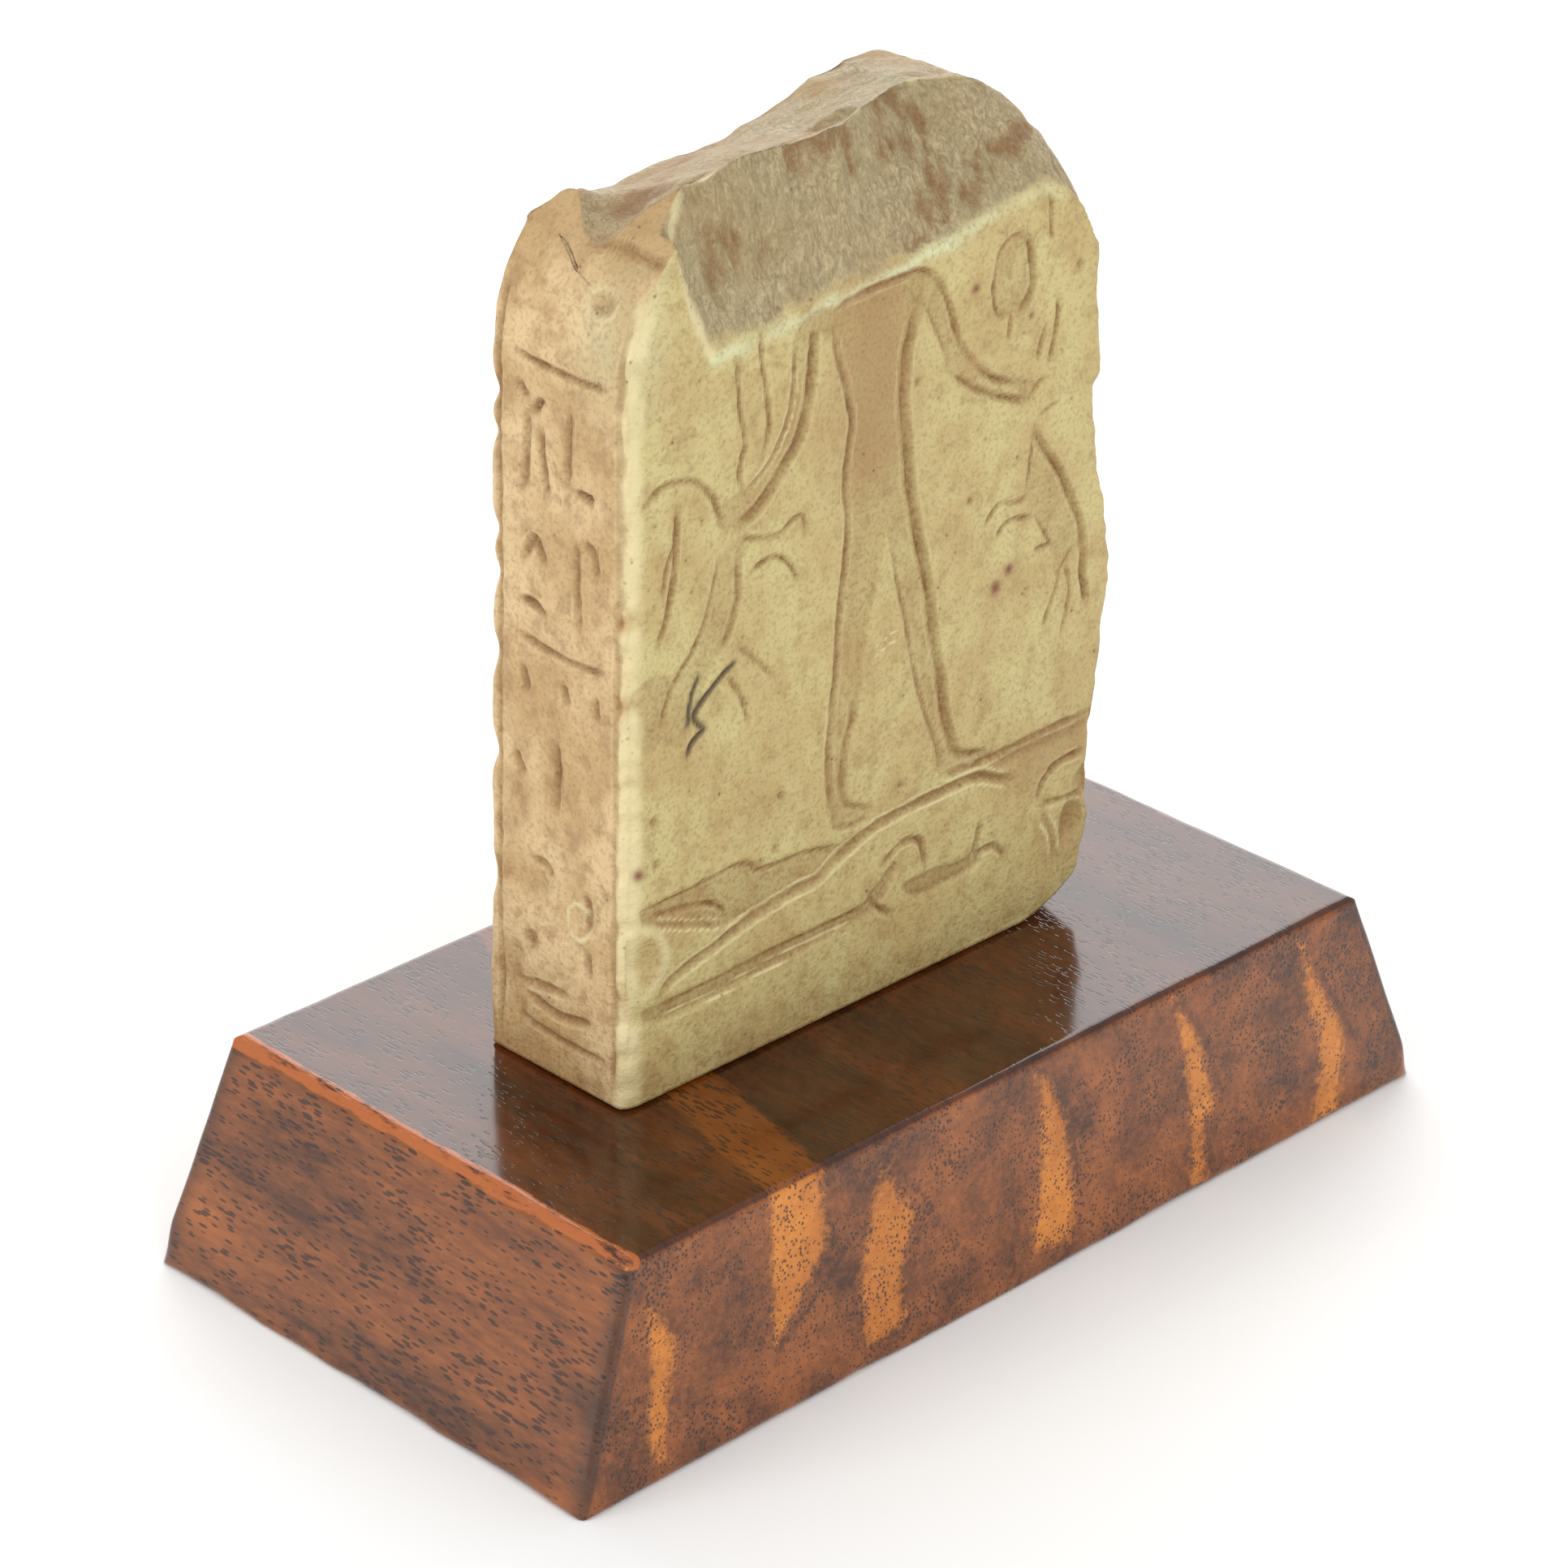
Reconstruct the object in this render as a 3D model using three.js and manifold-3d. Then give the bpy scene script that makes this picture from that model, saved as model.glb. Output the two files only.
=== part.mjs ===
// A small carved stone stele with a broken top, standing on a bevelled wooden base.
// Millimetres, +Z up. The origin is under the middle of the base; the figures face -Y.
import * as THREE from "three";
import { mergeVertices } from "three/addons/utils/BufferGeometryUtils.js";
import Module from "manifold-3d";

const wasm = await Module();
wasm.setup();

// ---- Driving dimensions ----
const BASE_HEIGHT = 23;
const BASE_TOP = { length: 100, width: 56 };
const BASE_FOOT = { length: 117.2, width: 61 };
const BASE_CORNER = 0.7; // radius of the upright corners
const BASE_EASE = 0.9; // worn radius of the top and bottom arrises
const BOND = 0.3; // layer of adhesive between stone and wood

const STELE_AT = [-1.2, 0.6]; // middle of the stone's foot on the base
const STONE = { width: 63.6, thick: 18.9, height: 88.3 };
const TAPER_HEIGHT = 90; // the two tapers below are measured over this height
const SIDE_TAPER = 1.15; // each side leans in by this
const FACE_TAPER = 0.58; // the front and the back lean in by this
const SHOULDER = 18; // radius of the rounded shoulders
const SHOULDER_FOOT = STONE.height - SHOULDER; // where the shoulders start to round
const ARRIS = 0.5; // worn edges of the slab
const FOOT_Z = BASE_HEIGHT + BOND;

const SKIN = 0.12; // how far a cutter stands proud of the surface that it cuts
const SUNK = 0.35; // depth of a figure below the ground that surrounds it

// ---- Joining and cutting ----
function solid(geometry) {
  const plain = geometry.clone();
  for (const name of Object.keys(plain.attributes)) {
    if (name !== "position") {
      plain.deleteAttribute(name);
    }
  }
  const merged = mergeVertices(plain, 1e-4);
  const mesh = new wasm.Mesh({
    numProp: 3,
    vertProperties: new Float32Array(merged.attributes.position.array),
    triVerts: new Uint32Array(merged.index.array),
  });
  return new wasm.Manifold(mesh);
}

function geometryOf(body) {
  const mesh = body.getMesh();
  const geometry = new THREE.BufferGeometry();
  const points = new THREE.BufferAttribute(new Float32Array(mesh.vertProperties), 3);
  geometry.setAttribute("position", points);
  geometry.setIndex(new THREE.BufferAttribute(new Uint32Array(mesh.triVerts), 1));
  geometry.computeVertexNormals();
  return geometry;
}

// A closed body from rings of points, each ring with the same count, capped by its first and last ring.
function loft(rings) {
  const count = rings[0].length;
  const points = rings.flat();
  const faces = [];
  for (let r = 0; r + 1 < rings.length; r++) {
    for (let i = 0; i < count; i++) {
      const a = r * count + i;
      const b = r * count + ((i + 1) % count);
      faces.push(a, b, b + count, a, b + count, a + count);
    }
  }
  const last = (rings.length - 1) * count;
  for (let i = 1; i + 1 < count; i++) {
    faces.push(0, i + 1, i);
    faces.push(last, last + i, last + i + 1);
  }
  return faceted(points, faces);
}

function faceted(points, faces) {
  const geometry = new THREE.BufferGeometry();
  geometry.setAttribute("position", new THREE.Float32BufferAttribute(points.flat(), 3));
  geometry.setIndex(faces);
  return geometry;
}

// ---- The wooden base: a block with four sloping sides, its arrises eased by hand ----
function roundedRing(length, width, radius, z) {
  const steps = 4;
  const ring = [];
  const corners = [
    [1, 1, 0],
    [-1, 1, 90],
    [-1, -1, 180],
    [1, -1, 270],
  ];
  for (const [sx, sy, start] of corners) {
    for (let i = 0; i <= steps; i++) {
      const turn = THREE.MathUtils.degToRad(start + (90 * i) / steps);
      const x = sx * (length / 2 - radius) + radius * Math.cos(turn);
      const y = sy * (width / 2 - radius) + radius * Math.sin(turn);
      ring.push([x, y, z]);
    }
  }
  return ring;
}

function baseGeometry() {
  const rings = [];
  const wall = (z, inset) => {
    const share = z / BASE_HEIGHT;
    const length = THREE.MathUtils.lerp(BASE_FOOT.length, BASE_TOP.length, share) - 2 * inset;
    const width = THREE.MathUtils.lerp(BASE_FOOT.width, BASE_TOP.width, share) - 2 * inset;
    rings.push(roundedRing(length, width, BASE_CORNER, z));
  };
  const eased = 3;
  for (let i = 0; i <= eased; i++) {
    const turn = (Math.PI / 2) * (i / eased);
    wall(BASE_EASE * (1 - Math.cos(turn)), BASE_EASE * (1 - Math.sin(turn)));
  }
  for (let i = eased; i >= 0; i--) {
    const turn = (Math.PI / 2) * (i / eased);
    wall(BASE_HEIGHT - BASE_EASE * (1 - Math.cos(turn)), BASE_EASE * (1 - Math.sin(turn)));
  }
  return loft(rings);
}

// ---- The stone slab ----
// Faces of the slab as frames: a point (across, up, into the stone) becomes a world point.
const lean = (up, taper) => (taper * up) / TAPER_HEIGHT;

function frontPoint(across, up, into) {
  const y = STELE_AT[1] - STONE.thick / 2 + lean(up, FACE_TAPER) + into;
  return [STELE_AT[0] + across, y, FOOT_Z + up];
}

function backPoint(across, up, into) {
  const y = STELE_AT[1] + STONE.thick / 2 - lean(up, FACE_TAPER) - into;
  return [STELE_AT[0] - across, y, FOOT_Z + up];
}

function leftPoint(across, up, into) {
  const x = STELE_AT[0] - STONE.width / 2 + lean(up, SIDE_TAPER) + into;
  return [x, STELE_AT[1] - across, FOOT_Z + up];
}

function rightPoint(across, up, into) {
  const x = STELE_AT[0] + STONE.width / 2 - lean(up, SIDE_TAPER) - into;
  return [x, STELE_AT[1] + across, FOOT_Z + up];
}

// The right edge is battered: it bulges over the middle and is chipped above that.
const RIGHT_EDGE = [
  [31.6, 5],
  [31.8, 9],
  [31.4, 15],
  [32, 21],
  [32.8, 26],
  [33.2, 30],
  [33.9, 33],
  [33.4, 38],
  [32.8, 42],
  [31.5, 46],
  [31.1, 51],
  [30.6, 55],
  [31.8, 57],
  [31.1, 62],
  [30.6, 67],
];

function slabOutline() {
  const rightCentre = 12.6;
  const leftCentre = -STONE.width / 2 + lean(SHOULDER_FOOT, SIDE_TAPER) + SHOULDER;
  const outline = new THREE.Shape();
  outline.moveTo(-STONE.width / 2, 0);
  outline.lineTo(30.4, 0);
  outline.splineThru(RIGHT_EDGE.map(([u, v]) => new THREE.Vector2(u, v)));
  outline.absarc(rightCentre, SHOULDER_FOOT, SHOULDER, 0, Math.PI / 2, false);
  outline.absarc(leftCentre, SHOULDER_FOOT, SHOULDER, Math.PI / 2, Math.PI, false);
  outline.closePath();
  return outline;
}

function slab() {
  const geometry = new THREE.ExtrudeGeometry(slabOutline(), {
    depth: STONE.thick - 2 * ARRIS,
    curveSegments: 14,
    bevelEnabled: true,
    bevelThickness: ARRIS,
    bevelSize: ARRIS,
    bevelOffset: -ARRIS,
    bevelSegments: 2,
  });
  const at = geometry.attributes.position;
  for (let i = 0; i < at.count; i++) {
    const up = Math.max(0, at.getY(i));
    const through = (at.getZ(i) + ARRIS) / STONE.thick; // 0 at the front, 1 at the back
    const front = frontPoint(at.getX(i), up, 0);
    const back = backPoint(-at.getX(i), up, 0);
    at.setXYZ(i, front[0], THREE.MathUtils.lerp(front[1], back[1], through), front[2]);
  }
  // Depth ran away from the front here, which turned the body inside out.
  const order = geometry.index ? geometry.index.array : null;
  const count = order ? order.length : at.count;
  const turned = [];
  for (let i = 0; i < count; i += 3) {
    turned.push(i, i + 2, i + 1);
  }
  geometry.setIndex(order ? turned.map((i) => order[i]) : turned);
  return solid(geometry);
}

// A curve through [place, value] pairs, straight between them and level outside.
function along(pairs, place) {
  if (place <= pairs[0][0]) {
    return pairs[0][1];
  }
  for (let i = 1; i < pairs.length; i++) {
    if (place <= pairs[i][0]) {
      const share = (place - pairs[i - 1][0]) / (pairs[i][0] - pairs[i - 1][0]);
      return THREE.MathUtils.lerp(pairs[i - 1][1], pairs[i][1], share);
    }
  }
  return pairs[pairs.length - 1][1];
}

// ---- The broken top ----
// The break starts on the face at BREAK_LINE, climbs to a ridge that lies RIDGE_DEPTH behind the face,
// and falls away behind the ridge by BACK_DROP at the back of the slab.
const BREAK_LINE = [
  [-25.5, 88],
  [-24.2, 83],
  [-22.8, 77],
  [-20.5, 72.2],
  [-13.5, 72.7],
  [-2.3, 73.9],
  [11, 75.5],
  [17, 77],
  [23, 77.8],
  [26, 76],
  [28, 74],
  [30, 70],
];
const RIDGE_DEPTH = [
  [-25, 2.5],
  [-20, 4.4],
  [-12, 5],
  [-4, 4.2],
  [0, 4.6],
  [5, 6.4],
  [10, 8.4],
  [14, 9.2],
  [20, 7.5],
  [26, 6.5],
];
const BACK_DROP = [
  [-30.4, 1],
  [-27.7, 3.4],
  [-23.7, 4.4],
  [-19.8, 5],
  [-15.8, 6],
  [-3.7, 5.5],
  [0.4, 4.7],
  [4.6, 3.5],
  [8.8, 1.9],
  [13, 0.9],
  [30, 0.9],
];
const HOLLOW = { across: 1.5, into: 7.6, size: 2.6, depth: 0.9 }; // small oval pit behind the ridge

function outlineTop(u) {
  const inner = 12.7;
  const beyond = Math.min(SHOULDER, Math.max(0, Math.abs(u) - inner));
  return SHOULDER_FOOT + Math.sqrt(SHOULDER * SHOULDER - beyond * beyond);
}

function breakHeight(u, into) {
  const ridge = along(RIDGE_DEPTH, u);
  const start = along(BREAK_LINE, u);
  const crest = Math.max(outlineTop(u) + 0.2, start + 0.5);
  if (into <= ridge) {
    const share = Math.max(0, into) / ridge;
    return THREE.MathUtils.lerp(start, crest, Math.pow(share, 0.9));
  }
  const behind = (into - ridge) / (STONE.thick - ridge);
  const drop = along(BACK_DROP, u) * Math.pow(behind, 0.8);
  const pitAway = Math.hypot(u - HOLLOW.across, into - HOLLOW.into) / HOLLOW.size;
  const rough = 0.25 * Math.sin(u * 0.9 + into * 1.7) + 0.2 * Math.sin(u * 1.9 - into);
  return crest - drop - HOLLOW.depth * Math.max(0, 1 - pitAway * pitAway) - Math.abs(rough);
}

// A block with a flat lid and an uneven underside, over the given spans of the front frame.
function breakCutter() {
  const across = [];
  for (let u = -38; u <= 38; u += 1.9) {
    across.push(u);
  }
  const into = [-1, 0, 2, 3.6, 4.6, 6, 7.6, 9.4, 12, 15, 18, 22];
  const lid = 100;
  const points = [];
  for (const height of [(u, d) => breakHeight(u, d), () => lid]) {
    for (const u of across) {
      for (const d of into) {
        points.push(frontPoint(u, height(u, d < 0 ? 0 : d), d));
      }
    }
  }
  const rows = across.length;
  const cols = into.length;
  const top = rows * cols;
  const faces = [];
  const quad = (a, b, c, d) => faces.push(a, b, c, a, c, d);
  for (let i = 0; i + 1 < rows; i++) {
    for (let j = 0; j + 1 < cols; j++) {
      const a = i * cols + j;
      quad(a, a + 1, a + cols + 1, a + cols);
      quad(top + a, top + a + cols, top + a + cols + 1, top + a + 1);
    }
  }
  for (let i = 0; i + 1 < rows; i++) {
    const front = i * cols;
    const back = front + cols - 1;
    quad(front, front + cols, top + front + cols, top + front);
    quad(back, top + back, top + back + cols, back + cols);
  }
  for (let j = 0; j + 1 < cols; j++) {
    const last = (rows - 1) * cols + j;
    quad(j, top + j, top + j + 1, j + 1);
    quad(last, last + 1, top + last + 1, top + last);
  }
  return solid(faceted(points, faces));
}

// ---- Cutters for the carving ----
// A V-shaped groove along a path on a face, fading out at both ends.
function groove(place, path, width, depth) {
  const line = path.length > 2 ? path : [path[0], middle(path[0], path[1]), path[1]];
  const spread = (width / 2) * (1 + SKIN / depth);
  const points = [place(line[0][0], line[0][1], -SKIN)];
  for (let i = 1; i + 1 < line.length; i++) {
    const before = line[i - 1];
    const after = line[i + 1];
    const run = Math.hypot(after[0] - before[0], after[1] - before[1]);
    const side = [(before[1] - after[1]) / run, (after[0] - before[0]) / run];
    const [u, v] = line[i];
    points.push(place(u + side[0] * spread, v + side[1] * spread, -SKIN));
    points.push(place(u, v, depth));
    points.push(place(u - side[0] * spread, v - side[1] * spread, -SKIN));
  }
  const end = line[line.length - 1];
  points.push(place(end[0], end[1], -SKIN));
  const rings = line.length - 2;
  const tip = 3 * rings + 1;
  const faces = [];
  for (let k = 0; k < 3; k++) {
    const next = (k + 1) % 3;
    faces.push(0, 1 + next, 1 + k);
    faces.push(tip, tip - 3 + k, tip - 3 + next);
    for (let r = 0; r + 1 < rings; r++) {
      const a = 1 + 3 * r + k;
      const b = 1 + 3 * r + next;
      faces.push(a, b, b + 3, a, b + 3, a + 3);
    }
  }
  return outward(faceted(points, faces));
}

const middle = (p, q) => [(p[0] + q[0]) / 2, (p[1] + q[1]) / 2];

// A cutter's winding depends on the face that it lies on, so an inside-out one is turned round.
function outward(geometry) {
  const body = solid(geometry);
  if (body.volume() > 0) {
    return body;
  }
  const order = geometry.index.array;
  const turned = [];
  for (let i = 0; i < order.length; i += 3) {
    turned.push(order[i], order[i + 2], order[i + 1]);
  }
  geometry.setIndex(turned);
  return solid(geometry);
}

// A flat-bottomed sinking inside a closed outline on a face.
function pocket(place, outline, depth) {
  const flat = outline.map(([u, v]) => new THREE.Vector2(u, v));
  const caps = THREE.ShapeUtils.triangulateShape(flat, []);
  const count = outline.length;
  const points = [];
  for (const into of [-SKIN, depth]) {
    for (const [u, v] of outline) {
      points.push(place(u, v, into));
    }
  }
  const faces = [];
  for (const [a, b, c] of caps) {
    faces.push(a, b, c, count + a, count + c, count + b);
  }
  const leftHanded = THREE.ShapeUtils.area(flat) < 0;
  for (let i = 0; i < count; i++) {
    const next = (i + 1) % count;
    const [a, b] = leftHanded ? [next, i] : [i, next];
    faces.push(a, count + a, count + b, a, count + b, b);
  }
  return outward(faceted(points, faces));
}

// A worn hollow or a chip: a low ball, stretched, centred on a face or an arris.
function chip(place, [u, v], [wide, high, deep]) {
  const ball = new THREE.IcosahedronGeometry(1, 1);
  const at = ball.attributes.position;
  for (let i = 0; i < at.count; i++) {
    const point = place(u + wide * at.getX(i), v + high * at.getY(i), deep * at.getZ(i));
    at.setXYZ(i, ...point);
  }
  const merged = mergeVertices(positionOnly(ball), 1e-4);
  return outward(merged);
}

function positionOnly(geometry) {
  const plain = geometry.clone();
  plain.deleteAttribute("normal");
  plain.deleteAttribute("uv");
  return plain;
}

// ---- The standing figure: body, legs and arms, sunk below the ground ----
const TORSO_LEFT = [
  [-5, 71.6],
  [-4.2, 67],
  [-2.7, 61],
  [-3.3, 56],
  [-3, 51],
  [-4, 42],
  [-4.8, 33],
  [-5.1, 25],
];
const TORSO_RIGHT = [
  [5.4, 70.5],
  [4.3, 65],
  [4.1, 60],
  [5, 53.5],
  [6.6, 45.5],
  [8.4, 38],
  [9.9, 31],
  [10.9, 25],
  [12.5, 22],
];
const LEFT_FOOT = [
  [-4.5, 20.6],
  [-3, 19.7],
  [0.2, 19.9],
  [-1.2, 21],
  [-3.2, 22.8],
];
const RIGHT_FOOT = [
  [16.8, 20.5],
  [10.2, 20.5],
  [9.6, 23],
];
const FORK = [
  [7.4, 29],
  [4.7, 39],
  [1.6, 49],
  [-1.4, 40],
  [-2.6, 31],
  [-3.1, 26],
];

function figureOutline() {
  const upperRight = [...TORSO_RIGHT].reverse();
  return [
    ...TORSO_LEFT,
    ...LEFT_FOOT,
    ...[...FORK].reverse(),
    ...[...RIGHT_FOOT].reverse(),
    ...upperRight,
    [5.2, 73.3],
    [0, 73.4],
  ];
}

const LEFT_ARM = [
  [-5, 71.6],
  [-6.8, 73],
  [-9, 72.3],
  [-10, 70],
  [-10.2, 66],
  [-11.6, 62.4],
  [-14.4, 58.8],
  [-19, 56.4],
  [-18.4, 55],
  [-15, 56],
  [-11, 59.6],
  [-8.9, 63],
  [-7.9, 67],
  [-7.8, 71],
];
const LEFT_ARM_SHADOW = [
  [-7.6, 72],
  [-7.9, 67.5],
  [-8.7, 63.6],
  [-10.6, 60.2],
  [-13.4, 57.3],
  [-17.4, 55.1],
];
const RIGHT_ARM = [
  [5.3, 73.2],
  [7.6, 72.6],
  [9.6, 69.6],
  [10.9, 66],
  [12.6, 63.3],
  [18, 59.6],
  [21.8, 57.4],
  [20.6, 56.2],
  [15.6, 58.6],
  [10.4, 62.1],
  [8.9, 65.6],
  [6.9, 69.8],
  [5.4, 71],
];

// ---- The animals that the figure holds, and the snakes beside it ----
const LION = [
  [-17.2, 54.4],
  [-17.1, 50],
  [-17.8, 46.4],
  [-19.3, 43.6],
  [-20.4, 43.6],
  [-21.4, 41.2],
  [-22.6, 37.6],
  [-23.4, 35],
  [-25.6, 37.6],
  [-26, 41],
  [-23.4, 44],
  [-21.2, 47.2],
  [-19.8, 51],
  [-19.2, 54],
];
const LION_FORELEGS = [
  [
    [-17.4, 53.4],
    [-14, 53.4],
    [-12.2, 52.7],
    [-10, 53.8],
    [-8.9, 53.3],
    [-8.7, 52],
  ],
  [
    [-16.6, 50.4],
    [-12.8, 50.8],
    [-11, 49.6],
    [-9.9, 47.6],
  ],
];
const LION_HINDLEGS = [
  [
    [-17.8, 43.4],
    [-15.2, 41.5],
    [-12.8, 38.8],
  ],
  [
    [-18.4, 40.5],
    [-16.8, 38],
    [-15.8, 35],
  ],
];
const LION_TAIL = [
  [-28.4, 60.6],
  [-26.6, 61.8],
  [-23.6, 61.6],
  [-21.2, 60],
  [-19.8, 57.6],
  [-18.8, 55.4],
];
const LION_MANE = [
  [-24.8, 59.6],
  [-24.8, 56],
  [-25.4, 51],
  [-27.6, 46],
];
const LION_CLAWS = [
  [
    [-17.6, 41.8],
    [-20.2, 40.3],
    [-22.3, 38.6],
    [-22.4, 36.8],
    [-21.3, 36.2],
  ],
  [
    [-21.5, 36.3],
    [-22.6, 35.8],
    [-23.5, 34.4],
  ],
];
const LOW_PATCH = [
  [-29.6, 42],
  [-30, 38.6],
  [-28.4, 36.1],
  [-27.1, 36.8],
  [-26.2, 40],
  [-25.7, 41.8],
  [-27.6, 43.4],
];
const SNAKES = [
  [
    [-17.6, 71.6],
    [-17, 66.6],
    [-16.3, 63],
    [-17, 60],
    [-16.5, 57.4],
  ],
  [
    [-14.7, 73.2],
    [-14.2, 69],
    [-13.3, 65.6],
    [-13.5, 62.6],
    [-14.4, 60.4],
  ],
];
const GAZELLE = [
  [21.9, 53.8],
  [24, 50],
  [26.6, 46],
  [28.8, 41.8],
  [29.5, 38],
  [28, 38.4],
  [25.8, 36.6],
  [25.1, 40],
  [22.7, 43.6],
  [21.2, 47],
  [21.6, 51],
];
const GAZELLE_BACK = [
  [21.9, 53.6],
  [24.2, 49.9],
  [26.6, 46],
  [28.7, 41.8],
  [29.5, 38],
  [29.5, 35.4],
  [30.2, 32.2],
];
const GAZELLE_LEGS = [
  [
    [15.3, 45],
    [17.2, 46.8],
    [20, 46.2],
    [21.8, 46.7],
  ],
  [
    [16.8, 43.2],
    [18.6, 44.7],
    [21.4, 44.1],
    [23.2, 43.6],
  ],
  [
    [25.8, 37.6],
    [25.6, 35],
    [23.9, 31.8],
  ],
  [
    [27, 38],
    [27.6, 34.4],
    [26.6, 30.3],
  ],
];
const HAND_STROKES = [
  [
    [22.3, 54.4],
    [23.4, 54.8],
    [24.8, 55.3],
  ],
  [
    [21.2, 56.5],
    [22.3, 57.9],
    [22.2, 60.5],
    [23.2, 63.6],
  ],
  [
    [23.2, 58],
    [23.8, 60],
    [24.7, 63.8],
    [24.6, 66.4],
  ],
];
const COIL = {
  centre: [18.5, 69.9],
  size: [2.75, 3.9],
};
const COIL_SHADOW = [
  [20.3, 73.6],
  [21, 71.4],
  [21.4, 68.6],
  [20.7, 66.9],
  [19.1, 65.7],
];

// ---- The crocodiles underfoot and the lines of the ground ----
const UPPER_CROCODILE = [
  [-29.4, 20.2],
  [-24, 20.2],
  [-17.2, 20.6],
  [-15.6, 20.2],
  [-14, 19],
  [-8, 18.6],
  [-4, 17.6],
  [2, 18.4],
  [2, 18],
  [-3, 16.8],
  [-6.4, 15.3],
  [-14, 14.4],
  [-18.6, 15.2],
  [-22, 16.6],
  [-28.6, 19],
];
const JAW_LINES = [
  [
    [-28.4, 19.3],
    [-23, 18.5],
    [-20.4, 17.8],
    [-18.2, 15.6],
  ],
  [
    [-25, 20.2],
    [-17, 20.5],
    [-14.4, 19.2],
  ],
];
const GROUND_LINES = [
  [
    [-27.1, 10.2],
    [-25.2, 11.9],
    [-20, 13.2],
    [-15.6, 14.3],
    [-10, 15.1],
    [-6, 15.5],
    [-2, 17.1],
    [3, 18.4],
    [10, 18.7],
    [15, 18.6],
    [18.6, 17.2],
    [20.8, 16.4],
  ],
  [
    [10, 20.5],
    [17, 20.1],
    [24, 20.3],
    [31.6, 20.2],
  ],
  [
    [19, 19],
    [24, 20],
    [31.4, 20],
  ],
];
const LOWER_CROCODILE = [
  [-29, 9.2],
  [-25, 9.2],
  [-14, 9.8],
  [-1, 10],
  [2, 11.7],
  [4, 12.9],
  [1.4, 10.4],
  [-1.4, 8.8],
  [-10, 8.5],
  [-25, 8],
  [-28.4, 8.4],
];
const LOWER_BELLY = [
  [5.4, 10],
  [7.4, 8.6],
  [14.6, 8.7],
  [15.6, 10.8],
  [14.4, 9.8],
  [8, 10.3],
];
const CROCODILE_STROKES = [
  [
    [0.6, 10.9],
    [1.9, 8.9],
    [3.6, 7.8],
  ],
  [
    [2.2, 13.8],
    [4.4, 15],
    [6.6, 14.9],
    [7.9, 13.3],
    [8.2, 11.1],
  ],
  [
    [14.9, 9.4],
    [15, 11.4],
    [15.9, 13.4],
  ],
  [
    [15.2, 10],
    [17.5, 10.2],
    [18.6, 9.5],
    [19.3, 8.3],
  ],
  [
    [24.1, 13.4],
    [24.9, 15],
    [27.4, 16.1],
    [31, 16.2],
  ],
  [
    [24.9, 12.3],
    [28, 11.7],
    [31.2, 11.2],
  ],
];

function faceCutters() {
  const f = frontPoint;
  const cutters = [
    pocket(f, figureOutline(), SUNK),
    pocket(f, LEFT_ARM, SUNK * 0.8),
    pocket(f, RIGHT_ARM, SUNK * 0.8),
    pocket(f, LION, SUNK * 0.7),
    pocket(f, GAZELLE, SUNK * 0.8),
    pocket(f, LOW_PATCH, SUNK * 0.6),
    pocket(f, UPPER_CROCODILE, SUNK),
    pocket(f, LOWER_CROCODILE, SUNK),
    pocket(f, LOWER_BELLY, SUNK),
    pocket(f, ovalOutline(COIL), SUNK * 0.5),
    groove(f, TORSO_LEFT.slice(0, 6), 1.3, 0.75),
    groove(f, TORSO_RIGHT, 1.2, 0.85),
    groove(f, LEFT_ARM_SHADOW, 1.2, 0.9),
    groove(f, GAZELLE_BACK, 1, 0.75),
    groove(f, COIL_SHADOW, 0.9, 0.7),
    groove(f, LION_TAIL, 0.9, 0.4),
    groove(f, LION_MANE, 0.8, 0.4),
  ];
  const fine = [...SNAKES, ...LION_FORELEGS, ...LION_HINDLEGS, ...GAZELLE_LEGS, ...HAND_STROKES];
  for (const path of fine) {
    cutters.push(groove(f, path, 0.7, 0.4));
  }
  for (const path of [...LION_CLAWS, ...JAW_LINES, ...CROCODILE_STROKES]) {
    cutters.push(groove(f, path, 0.8, 0.6));
  }
  for (const path of GROUND_LINES) {
    cutters.push(groove(f, path, 1.1, 0.6));
  }
  return cutters;
}

function ovalOutline({ centre, size }) {
  const points = [];
  const count = 12;
  for (let i = 0; i < count; i++) {
    const turn = (2 * Math.PI * i) / count;
    points.push([centre[0] + size[0] * Math.cos(turn), centre[1] + size[1] * Math.sin(turn)]);
  }
  return points;
}

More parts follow.
